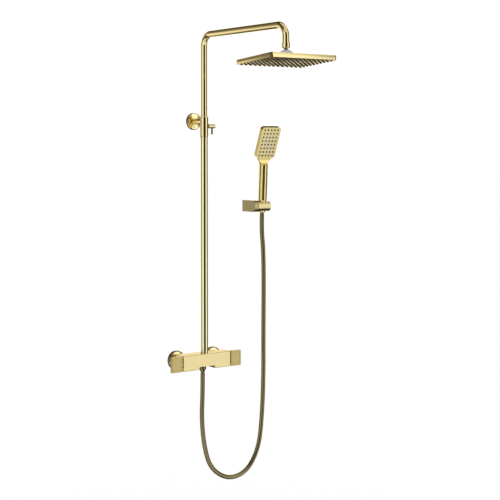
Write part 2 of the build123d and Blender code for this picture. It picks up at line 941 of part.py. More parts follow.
with BuildPart() as cradle:
    with BuildSketch(holder):
        with BuildLine():
            Polyline(
                (0, cradle_left),
                (holder_radius, cradle_left),
                (holder_radius, cradle_right - cradle_edge),
                (holder_radius - cradle_edge, cradle_right),
                (0, cradle_right),
                close=True,
            )
        make_face()
    revolve(axis=spin(holder))
    with BuildSketch(grip_profile):
        with BuildLine():
            Polyline(
                (0, -2 * holder_radius),
                (cone_radius(-2 * holder_radius) + slip, -2 * holder_radius),
                (cone_radius(2 * holder_radius) + slip, 2 * holder_radius),
                (0, 2 * holder_radius),
                close=True,
            )
        make_face()
    revolve(axis=spin(grip_profile), mode=Mode.SUBTRACT)
    with BuildSketch(grip_level.offset(-2 * holder_radius)):
        with Locations((cradle_width / 2, 0)):
            Rectangle(cradle_width, slot_width)
    extrude(amount=4 * holder_radius, mode=Mode.SUBTRACT)
    with BuildSketch(Plane.YZ.offset(cradle_left)):
        with Locations((-holder_out, holder_height)):
            Circle(pivot_radius + running)
    extrude(amount=pivot_grip + slip, mode=Mode.SUBTRACT)
keep(cradle.part, "cradle")

# Cone nut, washer and threaded inlet of the hand shower
cavity_floor = cone_top - cone_cavity
inlet_low = cavity_floor + washer_thickness

with BuildPart() as hose_cone:
    with BuildSketch(grip_profile):
        with BuildLine():
            Polyline(
                (hose_bore, -cone_bottom),
                (cone_bottom_radius, -cone_bottom),
                (cone_top_radius, cone_top),
                (handset_thread_radius + seat, cone_top),
                (handset_thread_radius + seat, cavity_floor),
                (hose_bore, cavity_floor),
                close=True,
            )
        make_face()
    revolve(axis=spin(grip_profile))
keep(hose_cone.part, "hose_cone")

with BuildPart() as cone_washer:
    with BuildSketch(grip_level.offset(cavity_floor)):
        Circle(handset_thread_radius - seat)
        Circle(hose_bore, mode=Mode.SUBTRACT)
    extrude(amount=washer_thickness)
keep(cone_washer.part, "cone_washer")

with BuildPart() as handset_inlet:
    with BuildSketch(grip_level.offset(inlet_low)):
        Circle(handset_thread_radius)
        Circle(handset_bore, mode=Mode.SUBTRACT)
    extrude(amount=cone_top - inlet_low + handset_thread)
keep(handset_inlet.part, "handset_inlet")

# Spray plate frame: X across, Y up the plate, Z out of its front
spray = radians(spray_lean)
spray_up = Vector(0, -sin(spray), cos(spray))
bend = grip_foot + grip_up * bend_rise
spray_level = Plane(bend, x_dir=(1, 0, 0), z_dir=spray_up)
spray_middle = Plane(bend, x_dir=(1, 0, 0), z_dir=(0, -cos(spray), -sin(spray)))
spray_side = Plane(bend, x_dir=spray_up, z_dir=(1, 0, 0))
front_face = spray_thickness / 2
spray_front = spray_middle.offset(front_face)
panel_width = spray_width - 2 * spray_margin
panel_length = spray_length - 2 * spray_margin
panel_centre = spray_start + spray_length / 2
panel_corner = spray_corner - spray_margin

with BuildPart() as handset_body:
    with BuildSketch(grip_level.offset(cone_top)):
        Circle(grip_radius)
    extrude(amount=grip_end - cone_top)
    chamfer(handset_body.edges().sort_by(Axis(grip_foot, grip_up))[0], grip_edge)
    with BuildSketch(grip_level.offset(grip_end)):
        RectangleRounded(2 * grip_radius, 2 * grip_radius, grip_radius - seat)
    with BuildSketch(spray_level.offset(neck_rise)):
        RectangleRounded(neck_width, neck_thickness, spray_edge)
    loft()
    with BuildSketch(spray_middle.offset(-spray_thickness / 2)):
        with Locations((0, panel_centre)):
            RectangleRounded(spray_width, spray_length, spray_corner)
    extrude(amount=spray_thickness)
    # The plate's flat front runs down to a scooped shoulder on the grip
    with BuildSketch(spray_side):
        with BuildLine():
            FilletPolyline(
                (spray_length, front_face),
                (-shoulder_drop, front_face),
                (-shoulder_drop, front_face + 2 * grip_radius),
                radius=shoulder_scoop,
            )
            Polyline(
                (-shoulder_drop, front_face + 2 * grip_radius),
                (spray_length, front_face + 2 * grip_radius),
                (spray_length, front_face),
            )
        make_face()
    extrude(amount=spray_width / 2, both=True, mode=Mode.SUBTRACT)
    with BuildSketch(spray_front):
        with Locations((0, panel_centre)):
            RectangleRounded(panel_width, panel_length, panel_corner)
    extrude(amount=-spray_plate - spray_mat, mode=Mode.SUBTRACT)
    with BuildSketch(grip_level.offset(cone_top)):
        Circle(handset_thread_radius + seat)
    extrude(amount=handset_thread, mode=Mode.SUBTRACT)
keep(handset_body.part, "handset_body")

with BuildPart() as handset_face:
    with BuildSketch(spray_front):
        with Locations((0, panel_centre)):
            RectangleRounded(panel_width - 2 * seat, panel_length - 2 * seat, panel_corner)
            with GridLocations(spray_pitch, spray_pitch, spray_columns, spray_rows):
                RegularPolygon(spray_nozzle_radius + nozzle_gap, 6, mode=Mode.SUBTRACT)
    extrude(amount=-spray_plate)
keep(handset_face.part, "handset_face")

with BuildPart() as handset_nozzles:
    with BuildSketch(spray_front.offset(-spray_plate)):
        with Locations((0, panel_centre)):
            RectangleRounded(panel_width - 2 * seat, panel_length - 2 * seat, panel_corner)
    extrude(amount=-spray_mat)
    with BuildSketch(spray_front.offset(-spray_plate)):
        with Locations((0, panel_centre)):
            with GridLocations(spray_pitch, spray_pitch, spray_columns, spray_rows):
                RegularPolygon(spray_nozzle_radius, 6)
    extrude(amount=spray_plate + spray_nozzle_length)
keep(handset_nozzles.part, "handset_nozzles")

# Hose from the outlet nut, down in a loop and up to the cone nut
hose_start = Vector(0, -outlet_out, hose_nut_low)
hose_finish = grip_foot - grip_up * cone_bottom
last_bend = hose_finish - grip_up * hose_end_run
hose_points = [hose_start, *(Vector(*point) for point in hose_route), last_bend, hose_finish]
hose_runs = [after - before for before, after in zip(hose_points, hose_points[1:])]
hose_radii = []
for before, after in zip(hose_runs, hose_runs[1:]):
    half_turn = radians(before.get_angle(after)) / 2
    hose_radii.append(0.45 * min(before.length, after.length) / tan(half_turn))
print("hose bend radii", [round(radius) for radius in hose_radii])

with BuildPart() as hose_tube:
    with BuildLine() as hose_line:
        FilletPolyline(*hose_points, radius=hose_radii)
    with BuildSketch(Plane(hose_start, z_dir=hose_runs[0])):
        Circle(hose_radius)
    sweep(path=hose_line.line)
keep(hose_tube.part, "hose_tube")
print("hose length", round(hose_line.wire().length))
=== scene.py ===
"""Looks of an exposed rainfall shower column in satin gold.

Metres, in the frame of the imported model: X along the wall, the wall at Y = 0 with the
room on the -Y side, Z up. Every mesh is drawn in that frame, so object coordinates
are the place on the real object.
"""

import json
import math

import bmesh
import bpy
from mathutils import Matrix, Vector
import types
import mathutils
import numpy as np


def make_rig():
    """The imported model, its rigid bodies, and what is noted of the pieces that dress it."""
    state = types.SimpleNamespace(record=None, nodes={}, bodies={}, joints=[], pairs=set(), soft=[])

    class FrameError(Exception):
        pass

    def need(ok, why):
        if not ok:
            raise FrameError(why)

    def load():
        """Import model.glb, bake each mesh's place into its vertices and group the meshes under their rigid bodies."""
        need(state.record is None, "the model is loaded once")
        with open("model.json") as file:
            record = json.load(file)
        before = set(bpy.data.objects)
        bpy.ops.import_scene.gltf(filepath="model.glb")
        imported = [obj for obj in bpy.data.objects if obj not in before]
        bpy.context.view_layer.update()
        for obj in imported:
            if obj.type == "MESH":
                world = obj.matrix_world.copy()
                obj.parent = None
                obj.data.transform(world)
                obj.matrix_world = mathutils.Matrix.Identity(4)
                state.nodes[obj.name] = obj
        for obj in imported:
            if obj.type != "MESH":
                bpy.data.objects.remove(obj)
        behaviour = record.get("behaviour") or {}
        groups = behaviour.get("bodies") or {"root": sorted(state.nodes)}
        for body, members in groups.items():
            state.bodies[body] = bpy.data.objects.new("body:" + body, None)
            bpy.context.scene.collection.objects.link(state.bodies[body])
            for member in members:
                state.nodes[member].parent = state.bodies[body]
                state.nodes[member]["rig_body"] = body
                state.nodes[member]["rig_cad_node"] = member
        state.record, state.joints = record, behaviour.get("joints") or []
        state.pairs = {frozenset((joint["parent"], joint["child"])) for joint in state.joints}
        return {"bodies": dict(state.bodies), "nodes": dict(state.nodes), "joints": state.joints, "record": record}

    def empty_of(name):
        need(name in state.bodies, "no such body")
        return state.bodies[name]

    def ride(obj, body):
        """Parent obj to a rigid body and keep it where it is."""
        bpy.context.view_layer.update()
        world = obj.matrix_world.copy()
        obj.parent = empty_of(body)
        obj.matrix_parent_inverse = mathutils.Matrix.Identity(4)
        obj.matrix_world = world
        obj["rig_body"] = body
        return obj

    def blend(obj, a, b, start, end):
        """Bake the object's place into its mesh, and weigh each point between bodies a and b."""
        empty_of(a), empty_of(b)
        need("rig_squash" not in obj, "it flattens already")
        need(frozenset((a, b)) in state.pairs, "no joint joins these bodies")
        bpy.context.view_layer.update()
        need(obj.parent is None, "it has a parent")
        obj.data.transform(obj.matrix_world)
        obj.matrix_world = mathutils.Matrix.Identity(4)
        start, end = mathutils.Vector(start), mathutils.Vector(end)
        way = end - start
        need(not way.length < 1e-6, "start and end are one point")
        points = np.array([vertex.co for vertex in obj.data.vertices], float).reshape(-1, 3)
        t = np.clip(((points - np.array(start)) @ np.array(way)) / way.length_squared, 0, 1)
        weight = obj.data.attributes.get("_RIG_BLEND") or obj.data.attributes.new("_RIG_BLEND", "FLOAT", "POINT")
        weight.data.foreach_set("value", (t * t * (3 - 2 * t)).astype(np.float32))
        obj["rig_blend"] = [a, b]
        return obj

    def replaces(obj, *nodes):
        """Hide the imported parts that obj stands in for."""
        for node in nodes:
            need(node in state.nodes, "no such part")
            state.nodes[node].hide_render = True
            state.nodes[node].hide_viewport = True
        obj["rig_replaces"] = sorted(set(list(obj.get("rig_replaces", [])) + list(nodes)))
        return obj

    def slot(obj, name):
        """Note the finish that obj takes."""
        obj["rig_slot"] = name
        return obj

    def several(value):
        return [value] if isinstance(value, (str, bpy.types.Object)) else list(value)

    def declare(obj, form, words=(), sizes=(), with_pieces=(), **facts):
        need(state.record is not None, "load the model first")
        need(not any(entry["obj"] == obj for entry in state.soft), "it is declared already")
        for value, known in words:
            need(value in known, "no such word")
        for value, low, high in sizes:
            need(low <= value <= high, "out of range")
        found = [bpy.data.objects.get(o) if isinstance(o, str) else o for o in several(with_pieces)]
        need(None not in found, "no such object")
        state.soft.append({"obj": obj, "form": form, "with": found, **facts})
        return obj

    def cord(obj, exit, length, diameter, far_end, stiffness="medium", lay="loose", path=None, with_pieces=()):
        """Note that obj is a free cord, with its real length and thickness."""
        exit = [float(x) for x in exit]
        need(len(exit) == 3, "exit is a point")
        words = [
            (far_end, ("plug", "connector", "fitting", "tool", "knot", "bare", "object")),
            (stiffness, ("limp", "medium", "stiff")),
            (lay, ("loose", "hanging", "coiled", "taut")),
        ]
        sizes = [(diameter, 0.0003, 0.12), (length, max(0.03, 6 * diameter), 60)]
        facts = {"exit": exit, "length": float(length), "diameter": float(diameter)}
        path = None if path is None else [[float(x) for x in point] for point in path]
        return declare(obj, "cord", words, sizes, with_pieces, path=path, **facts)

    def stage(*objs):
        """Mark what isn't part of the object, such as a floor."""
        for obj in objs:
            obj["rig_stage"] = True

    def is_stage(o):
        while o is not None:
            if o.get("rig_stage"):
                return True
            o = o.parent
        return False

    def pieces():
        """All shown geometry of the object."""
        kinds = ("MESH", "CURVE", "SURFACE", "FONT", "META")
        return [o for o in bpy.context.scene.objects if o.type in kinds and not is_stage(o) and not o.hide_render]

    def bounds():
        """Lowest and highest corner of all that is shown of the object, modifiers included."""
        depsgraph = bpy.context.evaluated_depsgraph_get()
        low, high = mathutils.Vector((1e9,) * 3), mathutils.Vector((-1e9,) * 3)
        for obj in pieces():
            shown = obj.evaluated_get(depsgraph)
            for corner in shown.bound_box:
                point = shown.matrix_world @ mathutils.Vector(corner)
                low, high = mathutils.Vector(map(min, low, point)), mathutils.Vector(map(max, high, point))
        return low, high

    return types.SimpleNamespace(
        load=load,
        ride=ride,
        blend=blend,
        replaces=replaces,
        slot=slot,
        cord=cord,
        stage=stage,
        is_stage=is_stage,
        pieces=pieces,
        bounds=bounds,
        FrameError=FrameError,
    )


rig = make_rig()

bl_info = {
    "name": "Rainfall shower column",
    "version": (1, 0, 0),
    "blender": (4, 5, 0),
    "location": "3D View > Sidebar > Shower",
    "description": "Dresses the packed shower column in its finishes and finer pieces",
    "category": "Object",
}

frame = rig.load()
CAD_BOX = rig.bounds()
NODES = frame["nodes"]
SLOTS = {name: node.data.materials[0].name for name, node in NODES.items()}
MM = 0.001


# Properties


class ShowerStage(bpy.types.PropertyGroup):
    """Camera, floor and light."""

    camera_place: bpy.props.FloatVectorProperty(
        name="Camera place",
        description="Where the camera stands",
        default=(-2.2290, -3.5621, 0.7547),
        subtype="TRANSLATION",
    )
    camera_turn: bpy.props.FloatProperty(
        name="Camera turn",
        description="How far the camera is turned to the right of square to the wall",
        default=math.radians(34.72),
        subtype="ANGLE",
    )
    camera_dip: bpy.props.FloatProperty(
        name="Camera dip",
        description="How far the camera looks below the level",
        default=math.radians(5.09),
        subtype="ANGLE",
    )
    camera_roll: bpy.props.FloatProperty(
        name="Camera roll",
        description="How far the camera leans to its left",
        default=math.radians(0.09),
        subtype="ANGLE",
    )
    camera_lens: bpy.props.FloatProperty(
        name="Camera lens",
        description="Focal length on a sensor 36 mm wide, in millimetres",
        default=86.86,
    )
    floor_height: bpy.props.FloatProperty(
        name="Floor height",
        description="Height of the floor under the hose's loop",
        default=-0.75,
        unit="LENGTH",
    )
    floor_radius: bpy.props.FloatProperty(
        name="Floor radius",
        description="How far the floor reaches",
        default=60.0,
        unit="LENGTH",
    )


class ShowerFinish(bpy.types.PropertyGroup):
    """Colours of the finishes."""

    gold: bpy.props.FloatVectorProperty(
        name="Gold",
        description="Colour of the gold plating",
        default=(0.82, 0.68, 0.31),
        subtype="COLOR",
        min=0.0,
        max=1.0,
    )
    deep_gold: bpy.props.FloatVectorProperty(
        name="Deep gold",
        description="Colour of the plating in its grain",
        default=(0.70, 0.555, 0.21),
        subtype="COLOR",
        min=0.0,
        max=1.0,
    )
    # Painted highlight: a paler copy of the gold plating, for the riser's bright reflections
    pale_gold: bpy.props.FloatVectorProperty(
        name="Pale gold",
        description="Colour of the plating on the riser",
        default=(0.84, 0.75, 0.37),
        subtype="COLOR",
        min=0.0,
        max=1.0,
    )
    # Painted shade: a deeper copy of the gold plating, for the grip and paddles that fall darker in the light
    warm_gold: bpy.props.FloatVectorProperty(
        name="Warm gold",
        description="Colour of the plating on the hand shower's grip and the paddles",
        default=(0.80, 0.62, 0.21),
        subtype="COLOR",
        min=0.0,
        max=1.0,
    )
    hose_gold: bpy.props.FloatVectorProperty(
        name="Hose gold",
        description="Colour of the hose's metal sleeve",
        default=(0.17, 0.138, 0.053),
        subtype="COLOR",
        min=0.0,
        max=1.0,
    )
    pale: bpy.props.FloatVectorProperty(
        name="Pale grey",
        description="Colour of the moulded boss on the rain head",
        default=(0.42, 0.395, 0.425),
        subtype="COLOR",
        min=0.0,
        max=1.0,
    )
    silicone: bpy.props.FloatVectorProperty(
        name="Silicone",
        description="Colour of the nozzles",
        default=(0.020, 0.015, 0.008),
        subtype="COLOR",
        min=0.0,
        max=1.0,
    )
    rubber: bpy.props.FloatVectorProperty(
        name="Rubber",
        description="Colour of washers and seals",
        default=(0.02, 0.02, 0.02),
        subtype="COLOR",
        min=0.0,
        max=1.0,
    )
    grey: bpy.props.FloatVectorProperty(
        name="Grey",
        description="Colour of moulded pieces inside",
        default=(0.06, 0.06, 0.065),
        subtype="COLOR",
        min=0.0,
        max=1.0,
    )
    steel: bpy.props.FloatVectorProperty(
        name="Steel",
        description="Colour of bare steel",
        default=(0.62, 0.62, 0.62),
        subtype="COLOR",
        min=0.0,
        max=1.0,
    )


class ShowerHead(bpy.types.PropertyGroup):
    """Rain head, drawn about the ball that carries it."""

    ball: bpy.props.FloatVectorProperty(
        name="Ball",
        description="Centre of the ball joint",
        default=(0.0, -0.538, 1.0515),
        precision=4,
        subtype="TRANSLATION",
    )
    tilt: bpy.props.FloatProperty(
        name="Tilt",
        description="How far the head hangs with its room side up",
        default=math.radians(4.3),
        subtype="ANGLE",
    )
    width: bpy.props.FloatProperty(
        name="Head width",
        description="Size along the wall",
        default=250 * MM,
        unit="LENGTH",
    )
    depth: bpy.props.FloatProperty(
        name="Head depth",
        description="Size out from the wall",
        default=188 * MM,
        unit="LENGTH",
    )
    top: bpy.props.FloatProperty(
        name="Head top",
        description="Top of the cover, from the ball",
        default=-36 * MM,
        unit="LENGTH",
    )
    seam: bpy.props.FloatProperty(
        name="Head seam",
        description="Joint of cover and tray, from the ball",
        default=-38 * MM,
        unit="LENGTH",
    )
    bottom: bpy.props.FloatProperty(
        name="Head bottom",
        description="Underside of the tray, from the ball",
        default=-51.3 * MM,
        unit="LENGTH",
    )
    corner: bpy.props.FloatProperty(
        name="Head corner",
        description="Radius of the corners",
        default=8 * MM,
        unit="LENGTH",
    )
    edge: bpy.props.FloatProperty(
        name="Head edge",
        description="Rounding of the rims",
        default=0.9 * MM,
        unit="LENGTH",
    )
    nozzle_pitch: bpy.props.FloatProperty(
        name="Nozzle pitch",
        description="Spacing of the nozzles",
        default=17.5 * MM,
        unit="LENGTH",
    )
    nozzle_radius: bpy.props.FloatProperty(
        name="Nozzle radius",
        description="Radius at a nozzle's foot",
        default=3.8 * MM,
        unit="LENGTH",
    )
    nozzle_length: bpy.props.FloatProperty(
        name="Nozzle length",
        description="How far a nozzle stands out",
        default=2.6 * MM,
        unit="LENGTH",
    )


class ShowerHandset(bpy.types.PropertyGroup):
    """Hand shower, drawn about its foot in the cradle."""

    foot: bpy.props.FloatVectorProperty(
        name="Foot",
        description="Where the grip's axis crosses the cradle's",
        default=(0.250, -0.0615, 0.530),
        precision=4,
        subtype="TRANSLATION",
    )
    lean: bpy.props.FloatProperty(
        name="Lean",
        description="Lean of the grip into the room",
        default=math.radians(3.0),
        subtype="ANGLE",
    )
    plate_lean: bpy.props.FloatProperty(
        name="Plate lean",
        description="Lean of the spray plate",
        default=math.radians(22.5),
        subtype="ANGLE",
    )
    bend: bpy.props.FloatProperty(
        name="Bend",
        description="Height on the grip where the plate leans over",
        default=171 * MM,
        unit="LENGTH",
    )
    plate_middle: bpy.props.FloatProperty(
        name="Plate middle",
        description="Middle of the plate above the bend",
        default=60 * MM,
        unit="LENGTH",
    )
    plate_front: bpy.props.FloatProperty(
        name="Plate front",
        description="Front of the plate, from its middle",
        default=7 * MM,
        unit="LENGTH",
    )
    grip_radius: bpy.props.FloatProperty(
        name="Grip radius",
        description="Radius of the grip",
        default=15.5 * MM,
        unit="LENGTH",
    )
    grip_ring: bpy.props.FloatProperty(
        name="Grip ring",
        description="Height of the ring round the grip",
        default=108 * MM,
        unit="LENGTH",
    )
    nozzle_pitch: bpy.props.FloatProperty(
        name="Nozzle pitch",
        description="Spacing of the nozzles",
        default=13.7 * MM,
        unit="LENGTH",
    )
    nozzle_radius: bpy.props.FloatProperty(
        name="Nozzle radius",
        description="Radius at a nozzle's foot",
        default=2.9 * MM,
        unit="LENGTH",
    )
    nozzle_length: bpy.props.FloatProperty(
        name="Nozzle length",
        description="How far a nozzle stands out",
        default=1.1 * MM,
        unit="LENGTH",
    )
    mist_radius: bpy.props.FloatProperty(
        name="Mist nozzle radius",
        description="Radius of the small nozzles",
        default=1.8 * MM,
        unit="LENGTH",
    )


class ShowerHose(bpy.types.PropertyGroup):
    """Hose and its spiral sleeve."""

    radius: bpy.props.FloatProperty(
        name="Hose radius",
        description="Outer radius of the hose",
        default=7.0 * MM,
        unit="LENGTH",
    )
    pitch: bpy.props.FloatProperty(
        name="Spiral pitch",
        description="Distance from one turn of the sleeve to the next",
        default=4.2 * MM,
        unit="LENGTH",
    )
    groove: bpy.props.FloatProperty(
        name="Groove depth",
        description="Depth of the groove between turns",
        default=0.25 * MM,
        unit="LENGTH",
    )
    crest: bpy.props.FloatProperty(
        name="Crest",
        description="How far the turns stand out beyond the hose's radius",
        default=1.0 * MM,
        unit="LENGTH",
    )
    split_height: bpy.props.FloatProperty(
        name="Split height",
        description="Height on the rising run where the part that follows the hand shower begins",
        default=0.42,
        unit="LENGTH",
    )


# Materials

# Noise in the finishes: waves per metre, and how many finer layers
GRAIN_DETAIL = 3.0
CLOUD_SCALE = 14.0
CLOUD_DETAIL = 2.0
SKIN_SCALE = 900.0
SKIN_DETAIL = 2.0

# Bump of the finishes
GRAIN_HEIGHT = 0.02 * MM
SKIN_HEIGHT = 0.03 * MM
SKIN_STRENGTH = 0.2

# Darkest and lightest tone of a moulding, as shares of its colour
SKIN_TONES = (0.85, 1.15)

# Grain of the metals in waves per metre along X, Y and Z: few along the brushing, many across
ALONG, ACROSS = 60.0, 2600.0
GRAINS = {
    "along X": (ALONG, ACROSS, ACROSS),
    "along Y": (ACROSS, ALONG, ACROSS),
    "along Z": (ACROSS, ACROSS, ALONG),
    "plated": (300.0, 300.0, 300.0),
    "turned": (400.0, 400.0, 400.0),
    "rolled": (500.0, 500.0, 500.0),
    "wound": (900.0, 900.0, 900.0),
}

# Metals: colour and grain's colour, each with the share of it that is used, then the grain, the roughness, how far
# that varies, and the strength of the bump. Shares below one, and the pale and warm golds, are painted light and
# shade: paler and darker copies of the one gold plating that stand in for how light falls on each part
METALS = {
    "gold brushed bar": ("gold", 0.82, "deep_gold", 0.82, "along X", 0.30, 0.06, 0.08),
    "gold brushed head": ("gold", 1.0, "deep_gold", 1.0, "along X", 0.25, 0.06, 0.08),
    "gold brushed handle": ("warm_gold", 0.54, "warm_gold", 0.45, "along Z", 0.30, 0.06, 0.08),
    "gold brushed block": ("gold", 0.60, "deep_gold", 0.56, "along Y", 0.36, 0.06, 0.08),
    # Painted shade: the plating at about a fifth of its light, for faces and parts that would lie in shadow or reflect
    # the dark room
    "gold shadowed": ("gold", 0.22, "deep_gold", 0.18, "plated", 0.25, 0.06, 0.08),
    "gold satin face": ("gold", 0.91, "deep_gold", 0.89, "along X", 0.20, 0.05, 0.06),
    "gold satin grip": ("warm_gold", 0.94, "warm_gold", 0.80, "along Z", 0.17, 0.05, 0.06),
    "gold satin cradle": ("gold", 0.70, "deep_gold", 0.68, "along X", 0.15, 0.04, 0.05),
    "gold tube along Y": ("gold", 1.0, "deep_gold", 1.0, "along Y", 0.11, 0.04, 0.05),
    "gold tube along Z": ("gold", 1.0, "deep_gold", 1.0, "along Z", 0.11, 0.04, 0.05),
    "gold pale riser": ("pale_gold", 1.0, "pale_gold", 0.86, "along Z", 0.10, 0.04, 0.05),
    "gold polished": ("gold", 1.0, "deep_gold", 1.0, "plated", 0.10, 0.04, 0.05),
    "gold hose": ("hose_gold", 1.0, "hose_gold", 1.5, "wound", 0.16, 0.06, 0.2),
    "bare brass": ("deep_gold", 1.0, "gold", 1.0, "turned", 0.32, 0.10, 0.2),
    "bare steel": ("steel", 1.0, "steel", 1.0, "rolled", 0.3, 0.1, 0.2),
}

# Mouldings: colour with the share of it that is used, roughness, and how far that varies
MOULDINGS = {
    "pale moulding": ("pale", 1.0, 0.35, 0.08),
    "mist moulding": ("pale", 1.3, 0.4, 0.08),
    "nozzle silicone": ("silicone", 1.0, 0.5, 0.1),
    "seal rubber": ("rubber", 1.0, 0.65, 0.1),
    "grey moulding": ("grey", 1.0, 0.45, 0.1),
}


def feed(tree, socket, value):
    """Link an output to a socket, or set the socket to a plain value."""
    if isinstance(value, bpy.types.NodeSocket):
        tree.links.new(value, socket)
    else:
        socket.default_value = value


def math_node(tree, operation, *values):
    """Result of a math node on outputs or plain values."""
    node = tree.nodes.new("ShaderNodeMath")
    node.operation = operation
    for socket, value in zip(node.inputs, values):
        feed(tree, socket, value)
    return node.outputs[0]


def noise(tree, place, scale, detail):
    """Noise over a place."""
    node = tree.nodes.new("ShaderNodeTexNoise")
    node.inputs["Scale"].default_value = scale
    node.inputs["Detail"].default_value = detail
    feed(tree, node.inputs["Vector"], place)
    return node.outputs["Fac"]


def mixed(tree, factor, first, second):
    """Colour between two colours."""
    node = tree.nodes.new("ShaderNodeMix")
    node.data_type = "RGBA"
    feed(tree, node.inputs["Factor"], factor)
    feed(tree, node.inputs["A"], first)
    feed(tree, node.inputs["B"], second)
    return node.outputs["Result"]


def bump(tree, shader, height, strength, distance):
    """Let a height stand out of the surface."""
    node = tree.nodes.new("ShaderNodeBump")
    node.inputs["Strength"].default_value = strength
    node.inputs["Distance"].default_value = distance
    feed(tree, node.inputs["Height"], height)
    feed(tree, shader.inputs["Normal"], node.outputs["Normal"])


def new_group(name, inputs, outputs):
    """Start a shader node group and return it with its input and output nodes."""
    group = bpy.data.node_groups.new(name, "ShaderNodeTree")
    for socket, kind, value in inputs:
        made = group.interface.new_socket(socket, in_out="INPUT", socket_type=kind)
        made.default_value = value
    for socket, kind in outputs:
        group.interface.new_socket(socket, in_out="OUTPUT", socket_type=kind)
    return group, group.nodes.new("NodeGroupInput"), group.nodes.new("NodeGroupOutput")


def brushed_group():
    """Fine scratches drawn out along one direction of the object."""
    group, given, out = new_group(
        "brushed grain",
        [
            ("Stretch", "NodeSocketVector", (1.0, 1.0, 1.0)),
            ("Colour", "NodeSocketColor", (0.8, 0.65, 0.33, 1.0)),
            ("Grain colour", "NodeSocketColor", (0.66, 0.5, 0.2, 1.0)),
            ("Roughness", "NodeSocketFloat", 0.25),
            ("Spread", "NodeSocketFloat", 0.1),
        ],
        [
            ("Colour", "NodeSocketColor"),
            ("Roughness", "NodeSocketFloat"),
            ("Height", "NodeSocketFloat"),
        ],
    )
    place = group.nodes.new("ShaderNodeTexCoord").outputs["Object"]
    stretch = group.nodes.new("ShaderNodeVectorMath")
    stretch.operation = "MULTIPLY"
    feed(group, stretch.inputs[0], place)
    feed(group, stretch.inputs[1], given.outputs["Stretch"])
    grain = noise(group, stretch.outputs[0], 1.0, GRAIN_DETAIL)
    cloud = noise(group, place, CLOUD_SCALE, CLOUD_DETAIL)
    colour = mixed(group, grain, given.outputs["Grain colour"], given.outputs["Colour"])
    # Each noise varies about a half, so the two less 1 vary about 0
    both = math_node(group, "ADD", grain, cloud)
    centred = math_node(group, "SUBTRACT", both, 1.0)
    spread, middle = given.outputs["Spread"], given.outputs["Roughness"]
    feed(group, out.inputs["Colour"], colour)
    feed(group, out.inputs["Roughness"], math_node(group, "MULTIPLY_ADD", centred, spread, middle))
    feed(group, out.inputs["Height"], grain)
    return group


def new_material(name):
    """Start a material and return it with its node tree and its shader."""
    material = bpy.data.materials.new(name)
    material.use_nodes = True
    return material, material.node_tree, material.node_tree.nodes["Principled BSDF"]


def metal(name, colour, grain_colour, stretch, roughness, spread, depth):
    """Metal with brushed grain. stretch is large across the grain and small along it."""
    material, tree, shader = new_material(name)
    shader.inputs["Metallic"].default_value = 1.0
    grain = tree.nodes.new("ShaderNodeGroup")
    grain.node_tree = bpy.data.node_groups.get("brushed grain") or brushed_group()
    grain.inputs["Stretch"].default_value = stretch
    grain.inputs["Colour"].default_value = (*colour, 1.0)
    grain.inputs["Grain colour"].default_value = (*grain_colour, 1.0)
    grain.inputs["Roughness"].default_value = roughness
    grain.inputs["Spread"].default_value = spread
    feed(tree, shader.inputs["Base Color"], grain.outputs["Colour"])
    feed(tree, shader.inputs["Roughness"], grain.outputs["Roughness"])
    bump(tree, shader, grain.outputs["Height"], depth, GRAIN_HEIGHT)
    return material


def moulding(name, colour, roughness, speckle):
    """Moulded plastic, silicone or rubber with a fine matt skin."""
    material, tree, shader = new_material(name)
    place = tree.nodes.new("ShaderNodeTexCoord").outputs["Object"]
    skin = noise(tree, place, SKIN_SCALE, SKIN_DETAIL)
    dark, light = ((*shade(colour, tone), 1.0) for tone in SKIN_TONES)
    feed(tree, shader.inputs["Base Color"], mixed(tree, skin, dark, light))
    rough = tree.nodes.new("ShaderNodeMapRange")
    rough.inputs["To Min"].default_value = roughness - speckle
    rough.inputs["To Max"].default_value = roughness + speckle
    feed(tree, rough.inputs["Value"], skin)
    feed(tree, shader.inputs["Roughness"], rough.outputs["Result"])
    bump(tree, shader, skin, SKIN_STRENGTH, SKIN_HEIGHT)
    return material


def shade(colour, share):
    """The same colour with less or more light in it."""
    return tuple(share * channel for channel in colour)


def finish(name):
    """The named finish, made at its first use."""
    made = bpy.data.materials.get(name)
    if made:
        return made
    colours = bpy.context.scene.shower_finish
    if name in MOULDINGS:
        colour, share, roughness, speckle = MOULDINGS[name]
        return moulding(name, shade(getattr(colours, colour), share), roughness, speckle)
    colour, share, grain_colour, grain_share, grain, roughness, spread, depth = METALS[name]
    main = shade(getattr(colours, colour), share)
    second = shade(getattr(colours, grain_colour), grain_share)
    return metal(name, main, second, GRAINS[grain], roughness, spread, depth)


def place_piece(name, mesh, material, body, slot, stands_for=()):
    """Put a finished mesh in the scene, on its body and in place of CAD nodes."""
    piece = bpy.data.objects.new(name, mesh)
    bpy.context.scene.collection.objects.link(piece)
    mesh.materials.clear()
    mesh.materials.append(finish(material))
    if body:
        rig.ride(piece, body)
    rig.slot(piece, slot)
    if stands_for:
        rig.replaces(piece, *stands_for)
    return piece


# Shapes

# Corners nearer to each other than this become one, in drawn shapes and in copies of solids
WELD = 0.001 * MM
SOLID_WELD = 0.005 * MM

# Angles between faces, in degrees: below FLAT they are one face, above BEVEL the edge is
# rounded, and above SHARP or RIM_SHARP it doesn't shade smoothly
FLAT = 1.0
BEVEL = 32.0
SHARP = 35.0
RIM_SHARP = 50.0
BEVEL_STEPS = 3

# A plate's corners in order, to the right or left and to the back or front
QUARTERS = ((1, 1), (-1, 1), (-1, -1), (1, -1))
CORNER_STEPS = 8
LEAST_CORNER = 0.1 * MM

# Profile of a soft nozzle in shares of its radius and length: a foot ring, a tapered tip and
# the hole in its end
NOZZLE = (
    (0.0, -0.1),
    (1.18, -0.1),
    (1.18, 0.0),
    (1.14, 0.16),
    (0.98, 0.26),
    (0.84, 0.86),
    (0.76, 1.0),
    (0.44, 1.0),
    (0.38, 0.76),
    (0.0, 0.74),
)


